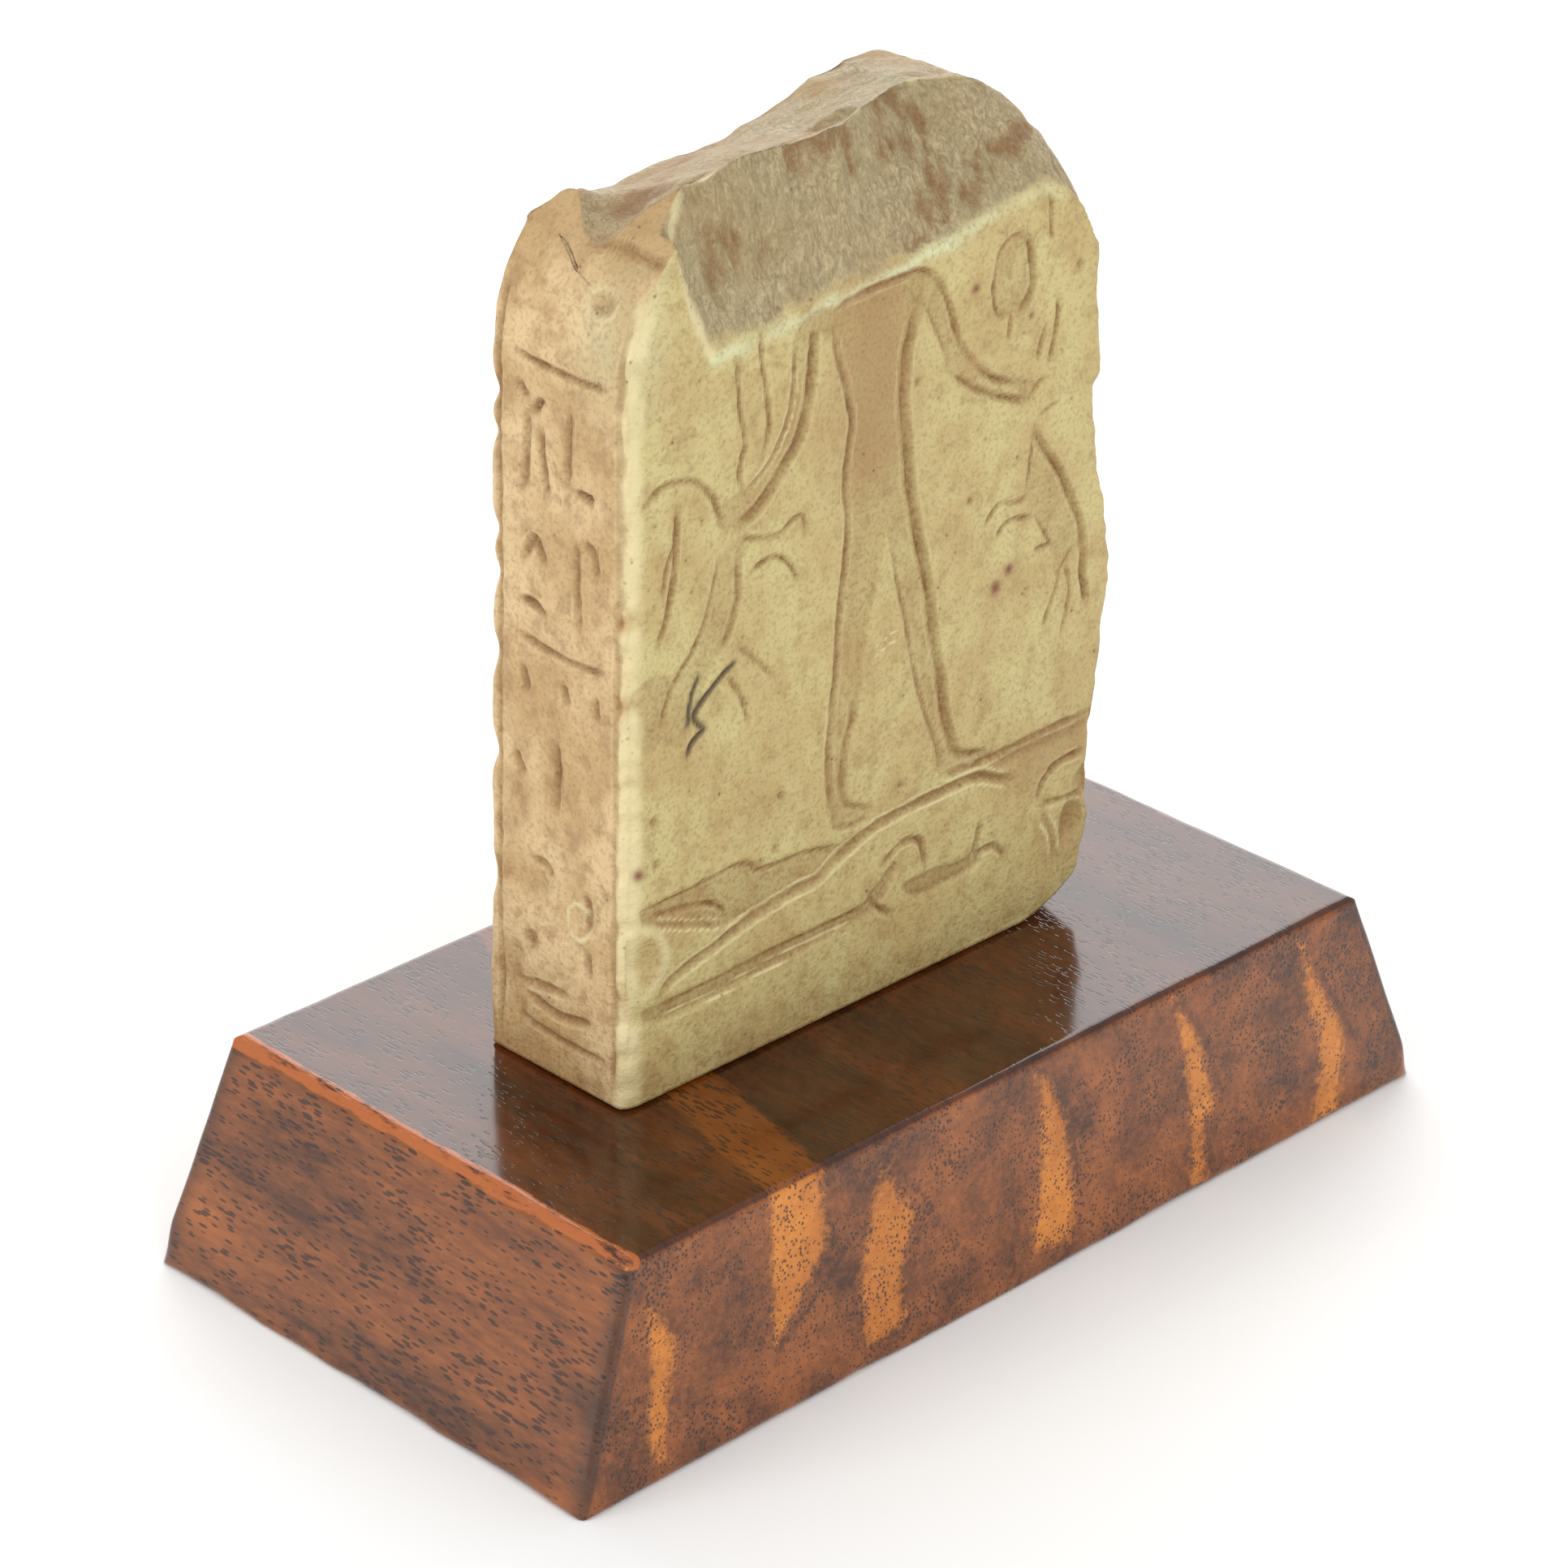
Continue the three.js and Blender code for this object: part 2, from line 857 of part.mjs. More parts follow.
// ---- Strokes in rows on the left edge: an inscription's place, with no letters in it ----
const EDGE_FRAME = 7.9; // distance of the two framing lines from the middle of the edge
const EDGE_RULES = [71.3, 43.8, 4.1];
const EDGE_STROKES = [
  [[-5.1, 68.9], [-3.9, 67.6]],
  [[-2, 68], [-3.3, 66.5]],
  [[-4, 66.2], [-4.1, 62.5], [-4.4, 58.8]],
  [[-2.3, 65.2], [-1.9, 62], [-1.2, 58.6]],
  [[1.7, 68.2], [1.5, 64.6], [1.5, 61.2]],
  [[2.4, 60.5], [4.6, 60.3]],
  [[-4.6, 51.8], [-3.1, 54.2], [-1.7, 52]],
  [[2.6, 55.6], [2.6, 51.4], [2.9, 47.2]],
  [[3.6, 55.9], [4.8, 55.2], [5.4, 53.2]],
  [[-4.9, 47.6], [-3.2, 47.8], [-1.8, 47]],
  [[-4.6, 41.1], [-4, 38.9]],
  [[0.9, 41], [1.4, 39.1]],
  [[5.2, 41.1], [5.4, 39.1]],
  [[-0.1, 34.6], [0.1, 31.2], [-0.3, 27.6]],
  [[-5.8, 32], [-4.6, 30.2]],
  [[4.1, 20.6], [4.4, 18.6], [4.2, 16.7]],
  [[4.3, 14.8], [4.4, 12.1]],
  [[-3.2, 21.6], [-1.8, 21.9], [-0.6, 20.6]],
  [[-5.6, 7.9], [-2, 8.8], [1.4, 9]],
  [[-4.6, 7.1], [0.5, 6.5], [4.6, 7.4]],
];

function edgeCutters(place) {
  const cutters = [];
  for (const side of [-1, 1]) {
    const line = [5, 25, 50, 76].map((v) => [side * EDGE_FRAME, v]);
    cutters.push(groove(place, line, 0.8, 0.35));
  }
  for (const v of EDGE_RULES) {
    const rule = [[-5.4, v + 0.2], [-1.5, v - 0.1], [2.5, v], [6.2, v + 0.1]];
    cutters.push(groove(place, rule, 0.8, 0.45));
  }
  for (const path of EDGE_STROKES) {
    cutters.push(groove(place, path, 0.8, 0.5));
  }
  cutters.push(chip(place, [-3.6, 13], [1, 1.1, 0.7]));
  cutters.push(chip(place, [4, 78.2], [1.5, 1.1, 0.5]));
  return cutters;
}

// ---- The back: ruled rows of plain upright and slanting strokes ----
const BACK_ROWS = 7;
const BACK_ROW_HEIGHT = 9.6;
const BACK_FIRST_RULE = 8;

function backCutters() {
  const cutters = [];
  const reach = 27;
  for (let row = 0; row <= BACK_ROWS; row++) {
    const v = BACK_FIRST_RULE + row * BACK_ROW_HEIGHT;
    const sag = 0.25 * Math.sin(row * 2.1);
    cutters.push(groove(backPoint, [[-reach, v], [0, v + sag], [reach, v]], 0.8, 0.4));
  }
  for (let row = 0; row < BACK_ROWS; row++) {
    const v = BACK_FIRST_RULE + (row + 0.5) * BACK_ROW_HEIGHT;
    const marks = 8;
    for (let i = 0; i < marks; i++) {
      const u = -23.5 + (i * 47) / (marks - 1) + 0.8 * Math.sin(5 * row + 3 * i);
      const half = 2 + 0.8 * Math.sin(2 * row + 1.3 * i);
      const slant = 0.9 * Math.sin(row + 2.2 * i);
      cutters.push(groove(backPoint, [[u - slant, v - half], [u + slant, v + half]], 0.8, 0.45));
    }
  }
  return cutters;
}

// ---- Wear: notches along the back arris, chips, the broken lower corner ----
const ARRIS_NOTCHES = [
  [67, 1.5],
  [63, 1.6],
  [53.5, 1.4],
  [49, 2],
  [41, 2.3],
  [31, 1.7],
  [18, 2.4],
];

// The front left arris is rubbed round, WORN wide on the face and on the edge.
const WORN = { face: 3.2, edge: 1.6 };

function wornArris() {
  const steps = 4;
  const section = [
    [WORN.face, -1],
    [-1, -1],
    [-1, WORN.edge],
  ];
  for (let i = 0; i <= steps; i++) {
    const turn = (Math.PI / 2) * (i / steps);
    section.push([WORN.face * (1 - Math.cos(turn)), WORN.edge * (1 - Math.sin(turn))]);
  }
  const rings = [];
  for (const v of [-1, 76, 79, 81.5, 83.5]) {
    const above = Math.max(0, v - SHOULDER_FOOT);
    const inward = SHOULDER - Math.sqrt(SHOULDER * SHOULDER - above * above);
    const corner = -STONE.width / 2 + lean(Math.min(v, SHOULDER_FOOT), SIDE_TAPER) + inward;
    rings.push(section.map(([u, into]) => frontPoint(corner + u, v, into)));
  }
  return outward(loft(rings));
}

function wearCutters() {
  const cutters = [wornArris()];
  for (const [v, half] of ARRIS_NOTCHES) {
    cutters.push(chip(leftPoint, [-STONE.thick / 2, v], [1.5, half, 1.5]));
    cutters.push(chip(rightPoint, [STONE.thick / 2, 84 - v], [1.3, half, 1.2]));
  }
  cutters.push(chip(frontPoint, [-31.4, 13.4], [4.2, 3.6, 0.9]));
  cutters.push(chip(frontPoint, [28.8, 8], [1.7, 3.4, 1.1]));
  cutters.push(chip(frontPoint, [31.6, 12.6], [3, 2.4, 1]));
  cutters.push(brokenCorner());
  return cutters;
}

function brokenCorner() {
  const outline = [
    [22.4, -1],
    [24.6, 0.3],
    [27, 1],
    [29.4, 2.2],
    [31, 4.2],
    [34.6, 7],
    [36, -1],
  ];
  const front = outline.map(([u, v]) => frontPoint(u, v, -1));
  const back = outline.map(([u, v]) => frontPoint(u + 4, v * 0.6 - 0.4, 11));
  return outward(loft([front, back]));
}

function steleBody() {
  let cutter = breakCutter();
  const all = [...faceCutters(), ...edgeCutters(leftPoint), ...backCutters(), ...wearCutters()];
  for (const one of all) {
    cutter = cutter.add(one);
  }
  return slab().subtract(cutter);
}

// ---- Assembly ----
function piece(name, geometry, colour, roughness) {
  const material = new THREE.MeshStandardMaterial({ color: colour, roughness, metalness: 0 });
  const mesh = new THREE.Mesh(geometry, material);
  mesh.name = name;
  return mesh;
}

const object = new THREE.Group();
object.add(piece("base", baseGeometry(), 0x6b3d26, 0.3));
object.add(piece("stele", geometryOf(steleBody()), 0xc4b37c, 0.65));

export default object;
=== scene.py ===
import math

import bpy
import numpy as np
from mathutils import Matrix, Vector


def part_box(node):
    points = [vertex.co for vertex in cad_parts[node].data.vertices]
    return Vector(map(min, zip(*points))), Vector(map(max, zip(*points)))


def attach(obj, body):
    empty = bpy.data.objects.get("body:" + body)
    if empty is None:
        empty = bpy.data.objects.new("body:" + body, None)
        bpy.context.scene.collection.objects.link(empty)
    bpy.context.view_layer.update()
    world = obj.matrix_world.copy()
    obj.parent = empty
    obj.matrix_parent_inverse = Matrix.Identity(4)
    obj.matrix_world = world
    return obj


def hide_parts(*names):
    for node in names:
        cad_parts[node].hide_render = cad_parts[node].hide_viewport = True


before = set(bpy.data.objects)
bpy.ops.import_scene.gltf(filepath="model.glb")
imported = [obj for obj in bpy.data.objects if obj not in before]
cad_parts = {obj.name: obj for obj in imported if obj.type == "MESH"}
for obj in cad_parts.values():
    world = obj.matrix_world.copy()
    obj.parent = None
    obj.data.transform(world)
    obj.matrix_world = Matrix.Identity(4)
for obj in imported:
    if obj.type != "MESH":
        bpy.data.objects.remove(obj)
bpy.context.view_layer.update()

MM = 0.001


# ---------------------------------------------------------------------------
# The wooden base. One block of dark figured hardwood, sawn with four sloping
# sides and polished with lacquer. The grain runs from front to back, so both
# long sides show end grain with orange flames, and the arrises are rubbed.
# ---------------------------------------------------------------------------
BASE_TOP = (100.0, 56.0)
BASE_FOOT = (117.1, 61.0)
BASE_ARRIS = 0.9
GRAIN_SHEAR = 0.23  # millimetres that the figure moves along for each one back
GRAIN_TILT = math.radians(20)

# Orange flames in the wood: distance from the left end of the top, depth below the top.
FLAMES = [
    [(1.5, 5), (3.2, 7), (4.2, 10), (3.2, 17), (2.2, 21), (0.8, 19), (1.2, 11)],
    [(17.3, -2), (24.2, -2), (23.6, 3), (24.4, 7.5), (21.5, 11), (16.6, 15.8), (16.8, 8)],
    [(32.2, 3), (34.6, 8), (35.8, 10), (33.6, 14), (34, 20), (28.4, 20.5), (27.8, 14), (30, 7)],
    [(52.7, 1.2), (54.8, 3.6), (56.6, 8), (57.2, 15), (56.4, 21), (51.6, 20), (53.2, 12)],
    [(72.3, 1), (75.4, 6), (77.9, 13.6), (76.2, 16), (76.6, 22), (74.2, 22), (74.6, 15), (73.2, 7)],
    [(91.1, 1.6), (93.6, 7), (96.4, 11.5), (97.6, 15), (96.6, 22), (93.2, 22), (94, 13), (92, 8)],
]
VEINS = [
    [(33.8, 3.4), (37, 8.5), (40.2, 14), (42.8, 17.8)],
    [(24.4, 7.5), (26.4, 9.5), (25, 11), (16.6, 16.5)],
    [(55.4, 3.4), (57.2, 8), (57.8, 15)],
    [(73.4, 1.5), (76.4, 6.5), (79.5, 14)],
    [(94.4, 6.6), (97.2, 11), (99.5, 16)],
]


def colour(code):
    """An sRGB hex colour as the linear colour that shaders use."""
    parts = [int(code[i : i + 2], 16) / 255 for i in (1, 3, 5)]
    return [p / 12.92 if p <= 0.04045 else ((p + 0.055) / 1.055) ** 2.4 for p in parts] + [1.0]


def add_node(tree, kind, inputs=None, **settings):
    """A node with its settings; a value that is a socket is linked, any other is set."""
    made = tree.nodes.new(kind)
    for name, value in settings.items():
        setattr(made, name, value)
    for name, value in (inputs or {}).items():
        if isinstance(value, bpy.types.NodeSocket):
            tree.links.new(value, made.inputs[name])
        else:
            made.inputs[name].default_value = value
    return made


def block_skin(counts, steps):
    """The skin of a block as lattice places (along, back, up) and faces that look outwards.
    A side with a step above 1 has fewer, larger faces, but keeps every vertex on its border."""
    na, nb, nc = counts
    sides = {
        "front": (na, nc, lambda p, q: (p, 0, q)),
        "back": (na, nc, lambda p, q: (na - p, nb, q)),
        "left": (nb, nc, lambda p, q: (0, nb - p, q)),
        "right": (nb, nc, lambda p, q: (na, p, q)),
        "top": (na, nb, lambda p, q: (p, q, nc)),
        "bottom": (na, nb, lambda p, q: (na - p, q, 0)),
    }
    index = {}
    faces = []
    for name, (wide, high, place) in sides.items():
        sp, sq = steps.get(name, (1, 1))
        for p in range(0, wide, sp):
            for q in range(0, high, sq):
                ring = [(p + i, q) for i in range(sp) if i == 0 or q == 0]
                ring += [(p + sp, q + i) for i in range(sq) if i == 0 or p + sp == wide]
                ring += [(p + sp - i, q + sq) for i in range(sp) if i == 0 or q + sq == high]
                ring += [(p, q + sq - i) for i in range(sq) if i == 0 or p == 0]
                faces.append([index.setdefault(place(*r), len(index)) for r in ring])
    return np.array(list(index)), faces


def drift(points, size, seed, stretch=(1, 1, 1)):
    """Smooth random values from -1 to 1 over points in millimetres, one swell to each size."""
    table = np.random.default_rng(seed).uniform(-1, 1, 4096)
    cell = points / (size * np.array(stretch, float))
    low = np.floor(cell).astype(np.int64)
    part = cell - low
    part = part * part * (3 - 2 * part)
    total = np.zeros(len(points))
    for corner in np.ndindex(2, 2, 2):
        at = low + corner
        key = (at[:, 0] * 73856093) ^ (at[:, 1] * 19349663) ^ (at[:, 2] * 83492791)
        share = np.prod(np.where(np.array(corner) == 1, part, 1 - part), axis=1)
        total += table[key & 4095] * share
    return total


def step(value, low=0.0, high=1.0):
    """0 below low, 1 above high and smooth between them."""
    t = np.clip((value - low) / (high - low), 0, 1)
    return t * t * (3 - 2 * t)


def distance_to(points, path, closed=False):
    """Distance of 2-D points from a path, and how far along it (0 to 1) the nearest place is."""
    path = np.array(path, float)
    if closed:
        path = np.vstack([path, path[:1]])
    lengths = np.hypot(*(path[1:] - path[:-1]).T)
    before = np.concatenate([[0], np.cumsum(lengths)])
    best = np.full(len(points), 1e9)
    place = np.zeros(len(points))
    for i, run in enumerate(path[1:] - path[:-1]):
        share = np.clip((points - path[i]) @ run / max(run @ run, 1e-12), 0, 1)
        away = np.hypot(*(points - path[i] - share[:, None] * run).T)
        nearer = away < best
        best[nearer] = away[nearer]
        place[nearer] = (before[i] + share[nearer] * lengths[i]) / before[-1]
    return best, place


def inside(points, outline):
    """True for the 2-D points that lie in a closed outline."""
    found = np.zeros(len(points), bool)
    ring = np.array(outline, float)
    for (ax, ay), (bx, by) in zip(ring, np.roll(ring, -1, axis=0)):
        crosses = (ay > points[:, 1]) != (by > points[:, 1])
        height = np.where(crosses, points[:, 1] - ay, 0) / (by - ay if by != ay else 1)
        found ^= crosses & (points[:, 0] < ax + height * (bx - ax))
    return found


def into_object(name, places, faces, marks):
    """A smooth-shaded mesh object from points in millimetres, with its marks as attributes."""
    mesh = bpy.data.meshes.new(name)
    mesh.from_pydata((places * MM).tolist(), [], faces)
    mesh.shade_smooth()
    for mark, values in marks.items():
        mesh.attributes.new(mark, "FLOAT", "POINT").data.foreach_set("value", values.astype(np.float32))
    made = bpy.data.objects.new(name, mesh)
    bpy.context.scene.collection.objects.link(made)
    return made


def rounded(near_a, near_b, radius_a, radius_b):
    """Distances from two faces of a block, changed so that the arris between them is an ellipse."""
    over_a = np.clip((radius_a - near_a) / radius_a, 0, 1)
    over_b = np.clip((radius_b - near_b) / radius_b, 0, 1)
    reach = np.hypot(over_a, over_b)
    cut = (over_a > 0) & (over_b > 0) & (reach > 1)
    scale = np.where(cut, 1 / np.maximum(reach, 1e-9), 1)
    new_a = np.where(cut, radius_a * (1 - over_a * scale), near_a)
    new_b = np.where(cut, radius_b * (1 - over_b * scale), near_b)
    return new_a, new_b


BASE_GRID = (200, 96, 44)  # cells of the skin along, back and up
base_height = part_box("base")[1][2] / MM
place, base_faces = block_skin(BASE_GRID, {"bottom": (2, 2)})
# The lattice is closer near the arrises, where the surface turns.
share = place / np.array(BASE_GRID)
share = share - 0.7 / (2 * np.pi) * np.sin(2 * np.pi * share)
up = share[:, 2] * base_height
half_length = (BASE_FOOT[0] + (BASE_TOP[0] - BASE_FOOT[0]) * up / base_height) / 2
half_width = (BASE_FOOT[1] + (BASE_TOP[1] - BASE_FOOT[1]) * up / base_height) / 2
near_end = 2 * half_length * np.minimum(share[:, 0], 1 - share[:, 0])
near_side = 2 * half_width * np.minimum(share[:, 1], 1 - share[:, 1])
near_lid = base_height * np.minimum(share[:, 2], 1 - share[:, 2])
wander = share * (117.0, 61.0, base_height)
arris = BASE_ARRIS * (1 + 0.25 * drift(wander, 9, 3) + 0.12 * drift(wander, 2.5, 4))
end_arris = arris * np.where(share[:, 0] < 0.5, 1.25, 1)
# The lacquer is rubbed through most along the top left arris, and dirt sits by the left end.
end_rub = step(end_arris * 1.15 - near_lid, 0, 0.5) * step(end_arris * 1.5 - near_end, 0, 0.6)
end_rub *= np.where((share[:, 2] > 0.5) & (share[:, 0] < 0.5), 1, 0.5)
upright_rub = 0.4 * step(arris * 0.8 - near_end, 0, 0.4) * step(arris * 0.8 - near_side, 0, 0.4)
rubbed = np.maximum(end_rub, upright_rub)
soiled = step(3.2 - near_side, 0, 3.2) * step(1.2 - near_end, 0, 0.6)
near_end, near_lid = rounded(near_end, near_lid, end_arris, end_arris)
near_side, near_lid = rounded(near_side, near_lid, arris, arris)
# The upright arrises are dressed round towards the foot.
corner_arris = arris * 0.8 + 1.4 * step(4.5 - up, 0, 4.5)
near_end, near_side = rounded(near_end, near_side, corner_arris, corner_arris)
height = np.where(share[:, 2] < 0.5, near_lid, base_height - near_lid)
slope_end = (BASE_FOOT[0] - BASE_TOP[0]) / 2 * (1 - height / base_height) + BASE_TOP[0] / 2
slope_side = (BASE_FOOT[1] - BASE_TOP[1]) / 2 * (1 - height / base_height) + BASE_TOP[1] / 2
x = np.where(share[:, 0] < 0.5, near_end - slope_end, slope_end - near_end)
y = np.where(share[:, 1] < 0.5, near_side - slope_side, slope_side - near_side)
base_places = np.stack([x, y, height], axis=1)
# A hand-rubbed face isn't dead flat: the sides wander by 0.1 mm and the top by 0.04 mm.
inward = np.stack([x / 58, y / 30, np.zeros(len(x))], axis=1)
base_places -= inward * (0.05 + 0.05 * drift(base_places, 21, 5))[:, None]
base_places[:, 2] -= np.where(share[:, 2] > 0.99, 0.02 + 0.02 * drift(base_places, 17, 6), 0)

# Each vertex's place in the figure of the wood, and its distances from the flames and the veins.
figure = np.stack(
    [x + BASE_TOP[0] / 2 - GRAIN_SHEAR * (y + BASE_TOP[1] / 2), base_height - height], axis=1
)
figure += 0.5 * np.stack([drift(base_places, 6, 7), drift(base_places, 6, 8)], axis=1)
FAR = 9.0
flame = np.full(len(x), -FAR)
for outline in FLAMES:
    away, _ = distance_to(figure, outline, closed=True)
    flame = np.maximum(flame, np.where(inside(figure, outline), away, -away))
vein = np.full(len(x), FAR)
for path in VEINS:
    vein = np.minimum(vein, distance_to(figure, path)[0])

base = into_object(
    "base_block",
    base_places,
    base_faces,
    {
        "flames": flame,
        "vein": vein,
        "rubbed": rubbed,
        "soiled": soiled,
        "lid": step(share[:, 2] * base_height, base_height - 0.5, base_height - 0.1),
    },
)

# Figured hardwood under lacquer: brown with orange flames, open pores 0.2 to 0.4 mm wide and
# about 1.2 mm long with the grain, the top coloured darker, and a clear glossy coat over all.
PORE = (0.44, 1.9, 0.44)  # millimetres from one pore to the next, with and across the grain
wood = bpy.data.materials.new("lacquered_hardwood")
wood.use_nodes = True
tree = wood.node_tree
tree.nodes.clear()
spot = add_node(tree, "ShaderNodeTexCoord").outputs["Object"]
marks = {
    name: add_node(tree, "ShaderNodeAttribute", attribute_name=name).outputs["Fac"]
    for name in ("flames", "vein", "rubbed", "soiled", "lid")
}
grain = add_node(
    tree,
    "ShaderNodeMapping",
    {"Vector": spot, "Rotation": (GRAIN_TILT, 0, 0), "Scale": [1 / (s * MM) for s in PORE]},
    vector_type="POINT",
).outputs[0]
long_grain = add_node(
    tree,
    "ShaderNodeMapping",
    {"Vector": spot, "Rotation": (GRAIN_TILT, 0, 0), "Scale": (1, 0.2, 1)},
    vector_type="POINT",
).outputs[0]
pore_cell = add_node(tree, "ShaderNodeTexVoronoi", {"Vector": grain, "Scale": 1.0, "Randomness": 1.0})
pore_size = add_node(
    tree,
    "ShaderNodeMapRange",
    {"Value": add_node(tree, "ShaderNodeTexNoise", {"Vector": spot, "Scale": 1 / (5 * MM)}).outputs[0],
     "From Min": 0.35, "From Max": 0.65, "To Min": 0.18, "To Max": 0.42},
).outputs[0]
pore = add_node(
    tree,
    "ShaderNodeMapRange",
    {"Value": add_node(
        tree, "ShaderNodeMath", {0: pore_cell.outputs["Distance"], 1: pore_size}, operation="SUBTRACT"
    ).outputs[0],
     "From Min": -0.07, "From Max": 0.04, "To Min": 1.0, "To Max": 0.0},
    interpolation_type="SMOOTHSTEP",
).outputs[0]
# Broad and fine streaks of the grain.
band, fine = (
    add_node(
        tree,
        "ShaderNodeTexNoise",
        {"Vector": long_grain, "Scale": 1 / (size * MM), "Detail": detail, "Roughness": rough},
    ).outputs[0]
    for size, detail, rough in ((7, 5.0, 0.6), (0.8, 4.0, 0.7))
)
tone = add_node(
    tree,
    "ShaderNodeMapRange",
    {"Value": add_node(
        tree, "ShaderNodeMath", {0: fine, 1: 0.55, 2: band}, operation="MULTIPLY_ADD"
    ).outputs[0],
     "From Min": 0.58, "From Max": 1.0},
).outputs[0]
brown = add_node(
    tree,
    "ShaderNodeMix",
    {0: tone, 6: colour("#4C2914"), 7: colour("#A25C2A")},
    data_type="RGBA",
).outputs[2]
flame_edge = add_node(
    tree,
    "ShaderNodeMath",
    {0: add_node(tree, "ShaderNodeMath", {0: fine, 1: 0.5}, operation="SUBTRACT").outputs[0],
     1: 3.0, 2: marks["flames"]},
    operation="MULTIPLY_ADD",
).outputs[0]
flame_here = add_node(
    tree,
    "ShaderNodeMapRange",
    {"Value": flame_edge, "From Min": -0.55, "From Max": 0.9, "To Max": 0.9},
    interpolation_type="SMOOTHSTEP",
).outputs[0]
orange = add_node(
    tree,
    "ShaderNodeMix",
    {0: tone, 6: colour("#B4661E"), 7: colour("#DD8A2E")},
    data_type="RGBA",
).outputs[2]
figured = add_node(
    tree, "ShaderNodeMix", {0: flame_here, 6: brown, 7: orange}, data_type="RGBA"
).outputs[2]
vein_here = add_node(
    tree,
    "ShaderNodeMapRange",
    {"Value": add_node(
        tree, "ShaderNodeMath", {0: fine, 1: 0.9, 2: marks["vein"]}, operation="MULTIPLY_ADD"
    ).outputs[0],
     "From Min": 0.45, "From Max": 1.15, "To Min": 0.65, "To Max": 0.0},
    interpolation_type="SMOOTHSTEP",
).outputs[0]
veined = add_node(
    tree, "ShaderNodeMix", {0: vein_here, 6: figured, 7: colour("#432614")}, data_type="RGBA"
).outputs[2]
darkened = add_node(
    tree,
    "ShaderNodeMix",
    {0: add_node(tree, "ShaderNodeMath", {0: marks["lid"], 1: 0.8}, operation="MULTIPLY").outputs[0],
     6: veined, 7: colour("#7A5A3C")},
    data_type="RGBA",
    blend_type="MULTIPLY",
).outputs[2]
dirty = add_node(
    tree,
    "ShaderNodeMix",
    {0: add_node(tree, "ShaderNodeMath", {0: marks["soiled"], 1: 0.7}, operation="MULTIPLY").outputs[0],
     6: darkened, 7: colour("#3A2B24")},
    data_type="RGBA",
).outputs[2]
pored = add_node(
    tree,
    "ShaderNodeMix",
    {0: add_node(tree, "ShaderNodeMath", {0: pore, 1: 0.8}, operation="MULTIPLY").outputs[0],
     6: dirty, 7: colour("#2A1A14")},
    data_type="RGBA",
).outputs[2]
rub = add_node(
    tree,
    "ShaderNodeMapRange",
    {"Value": add_node(
        tree, "ShaderNodeMath", {0: marks["rubbed"], 1: fine}, operation="MULTIPLY"
    ).outputs[0],
     "From Min": 0.3, "From Max": 0.5},
    interpolation_type="SMOOTHSTEP",
).outputs[0]
wood_colour = add_node(
    tree, "ShaderNodeMix", {0: rub, 6: pored, 7: colour("#B0602C")}, data_type="RGBA"
).outputs[2]
ripple = add_node(
    tree, "ShaderNodeBump", {"Strength": 0.35, "Distance": 0.05 * MM, "Height": pore}, invert=True
).outputs[0]
varnish = add_node(
    tree,
    "ShaderNodeBump",
    {"Strength": 0.25, "Distance": 0.05 * MM, "Height": fine, "Normal": ripple},
).outputs[0]
wood_shader = add_node(
    tree,
    "ShaderNodeBsdfPrincipled",
    {"Base Color": wood_colour, "Roughness": 0.42, "Specular IOR Level": 0.0, "Coat Weight": 1.0,
     "Coat Roughness": 0.13, "Coat IOR": 1.52, "Normal": varnish, "Coat Normal": ripple},
)
add_node(tree, "ShaderNodeOutputMaterial", {"Surface": wood_shader.outputs[0]})
base.data.materials.append(wood)
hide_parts("base")
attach(base, "root")


# ---------------------------------------------------------------------------
# The stone. A slab of yellow-green steatite with rounded shoulders, carved in
# sunk relief on the front and cut with rows of strokes on the edge and the back.
# Its top is broken away, its arrises are worn and its skin is stained brown.
# ---------------------------------------------------------------------------
stone_low, stone_high = (np.array(corner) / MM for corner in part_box("stele"))
LEFT_FOOT_U = -31.8  # the left face at the foot, from the middle of the slab
THICK = 18.9
SIDE_TAPER, FACE_TAPER = 1.15 / 90, 0.58 / 90  # each face leans in by this for each millimetre up
SHOULDER, SHOULDER_FOOT = 18.0, 70.3  # radius of the shoulders and height of their centres
LEFT_CENTRE, RIGHT_CENTRE = -12.9, 12.6
stone_origin = np.array(
    [stone_low[0] - LEFT_FOOT_U, (stone_low[1] + stone_high[1] - THICK) / 2, stone_low[2]]
)


def curved(points, parts=6):
    """A smooth curve through the points, as short straight runs."""
    p = np.array(points, float)
    p = np.vstack([2 * p[0] - p[1], p, 2 * p[-1] - p[-2]])
    run = []
    for a, b, c, d in zip(p, p[1:], p[2:], p[3:]):
        for t in np.arange(parts) / parts:
            bend = (2 * a - 5 * b + 4 * c - d) * t * t + (3 * b - a - 3 * c + d) * t**3
            run.append((2 * b + (c - a) * t + bend) / 2)
    return np.vstack([run, p[-2]])


RIGHT_EDGE = curved(
    [(30.4, 0), (31.6, 5), (31.8, 9), (31.4, 15), (32, 21), (32.8, 26), (33.2, 30), (33.8, 33),
     (33.4, 38), (32.8, 42), (31.5, 46), (31.1, 51), (30.6, 55), (31.8, 57), (31.1, 62), (30.6, 70.3)]
)


def left_edge(v):
    """Where the left face is at each height: upright, then round the shoulder."""
    arc = np.sqrt(np.maximum(SHOULDER**2 - (v - SHOULDER_FOOT) ** 2, 0))
    return np.where(v < SHOULDER_FOOT, LEFT_FOOT_U + SIDE_TAPER * v, LEFT_CENTRE - arc)


